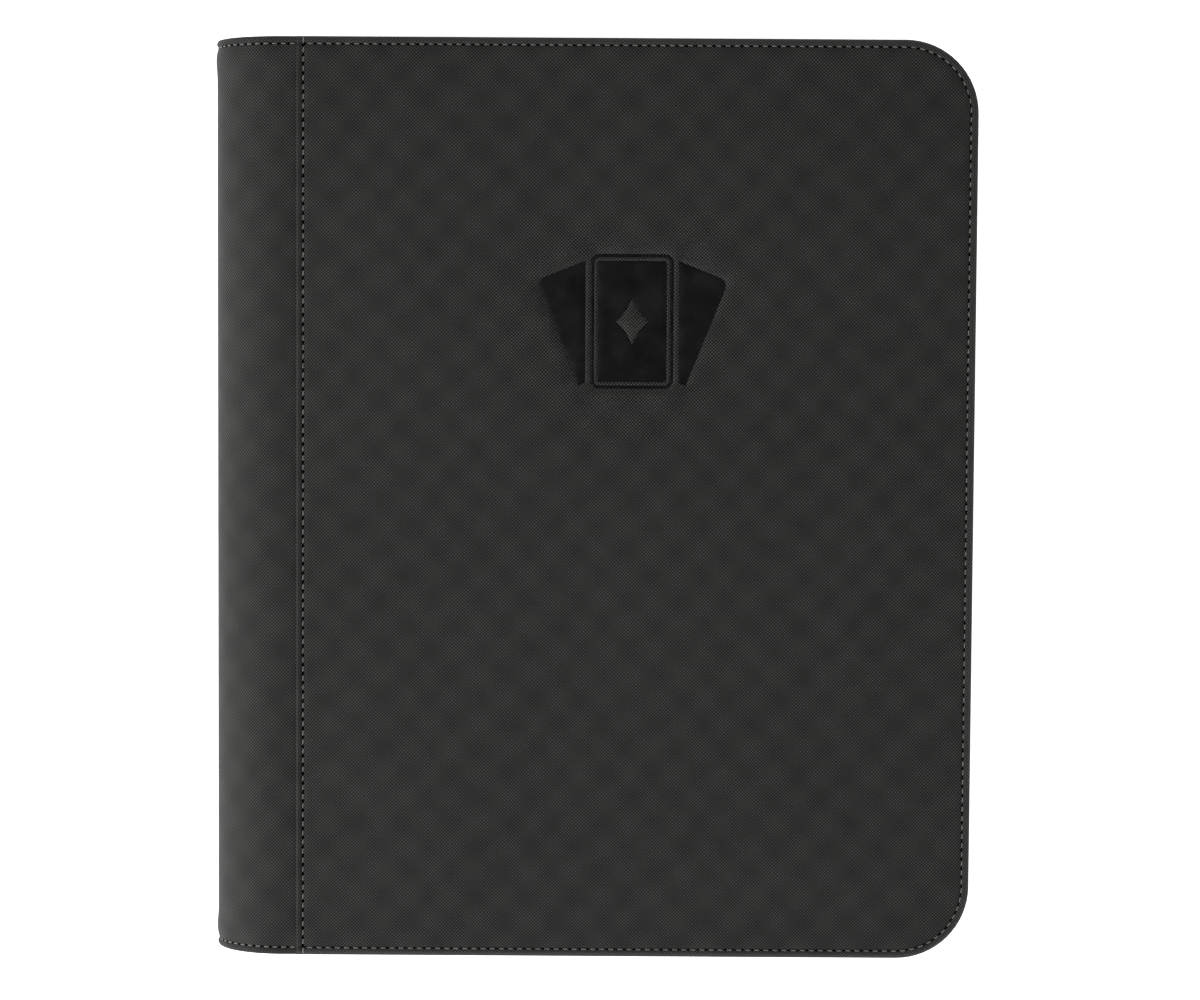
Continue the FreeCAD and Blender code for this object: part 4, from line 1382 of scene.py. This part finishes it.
def softened(node, body, width, material, slot):
    """The node's own shape with its moulded or tumbled edges rounded."""
    mesh = frame["nodes"][node].data.copy()
    work = bmesh.new()
    work.from_mesh(mesh)
    bmesh.ops.remove_doubles(work, verts=work.verts, dist=0.002 * MM)
    bmesh.ops.dissolve_limit(
        work, angle_limit=math.radians(2), verts=work.verts, edges=work.edges
    )
    work.to_mesh(mesh)
    work.free()
    mesh.materials.clear()
    mesh.materials.append(material)
    draft = bpy.data.objects.new(f"{node}_draft", mesh)
    bpy.context.scene.collection.objects.link(draft)
    bevel = draft.modifiers.new("rounding", "BEVEL")
    bevel.width, bevel.segments = width, 3
    bevel.limit_method, bevel.angle_limit = "ANGLE", math.radians(28)
    bevel.harden_normals = True
    graph = bpy.context.evaluated_depsgraph_get()
    done = bpy.data.meshes.new_from_object(draft.evaluated_get(graph))
    bpy.data.objects.remove(draft)
    stand_in(as_object(f"{node}_finish", done), body, slot, node)


for node, body, width, material, slot in (
    ("zip_slider_body", "zip_slider", 0.35 * MM, METAL, "slider_metal"),
    ("zip_slider_bridge", "zip_slider", 0.3 * MM, METAL, "slider_metal"),
    ("zip_pull_link", "zip_link", 0.22 * MM, METAL, "slider_metal"),
    ("zip_pull_tab", "zip_tab", 0.45 * MM, RUBBER, "pull_rubber"),
    ("front_zip_stops", "front_cover", 0.25 * MM, METAL, "slider_metal"),
    ("back_zip_stops", "back_cover", 0.25 * MM, METAL, "slider_metal"),
):
    softened(node, body, width, material, slot)
for side in SIDES:
    mesh = frame["nodes"][f"{side}_board"].data
    mesh.materials.clear()
    mesh.materials.append(BOARD)


# ---- floor, light and camera


def soft_light(name, place, aim, size, power):
    lamp = bpy.data.lights.new(name, "AREA")
    lamp.shape = "RECTANGLE"
    lamp.size, lamp.size_y = size
    lamp.energy = power
    obj = bpy.data.objects.new(name, lamp)
    bpy.context.scene.collection.objects.link(obj)
    obj.location = place
    obj.rotation_euler = (Vector(aim) - Vector(place)).to_track_quat("-Z", "Y").to_euler()


def make_floor():
    build = Build()
    spread = np.linspace(-12, 12, 25)
    build.grid([[(x, y, -0.15 * MM) for x in spread] for y in spread])
    material, n, shader = new_material(
        "studio_floor", (0.9, 0.9, 0.9), 0.9, Emission_Color=(1, 1, 1, 1), Emission_Strength=0.75
    )
    tone = n.noise(n.uv()[0], 3.0, 2.0)
    n.put(shader, "Base Color", n.mix(tone, (0.88, 0.88, 0.88), (0.92, 0.92, 0.92)))
    floor = build.make("studio_floor", [material])


make_floor()
soft_light("left_bank", (-0.85, -0.16, 0.36), (-0.05, 0, 0.03), (0.5, 0.9), 15)
soft_light("right_bank", (0.95, -0.1, 0.2), (0, 0, 0.03), (0.3, 1.2), 7)
soft_light("head_bank", (0.0, 1.4, 0.45), (0, 0, 0.03), (1.4, 0.5), 9)
soft_light("tail_bank", (0.0, -0.9, 0.2), (0, 0, 0.03), (1.4, 0.3), 8.5)

# a light tent: bright walls all round, and a dark opening overhead for the camera
world = bpy.data.worlds.new("light_tent")
world.use_nodes = True
sky = Nodes(world.node_tree)
_, _, height = sky.split(sky.node("ShaderNodeTexCoord").outputs["Generated"])
shade = sky.range(height, 0.2, 0.75, 0.75, 0.07)
background = world.node_tree.nodes["Background"]
sky.put(background, "Color", sky.mix(shade, (0, 0, 0), (1, 1, 1)))
sky.put(background, "Strength", 1.0)
bpy.context.scene.world = world

camera_data = bpy.data.cameras.new("camera")
camera_data.lens = 81.4
camera_data.sensor_width = 36
camera = bpy.data.objects.new("camera", camera_data)
bpy.context.scene.collection.objects.link(camera)
EYE = Vector((0.0029, 0.0537, TOP + 1.0))
AIM = Vector((0.0029, 0.0005, TOP))
ROLL = math.radians(0.35)
back = (EYE - AIM).normalized()
right = Vector((1, 0, 0)) - back * back.x
right.normalize()
up = back.cross(right)
right, up = (
    right * cos(ROLL) + up * sin(ROLL), up * cos(ROLL) - right * sin(ROLL)
)
turn = Matrix((right, up, back)).transposed().to_4x4()
camera.matrix_world = Matrix.Translation(EYE) @ turn
bpy.context.scene.camera = camera
bpy.context.scene.view_settings.view_transform = "Standard"
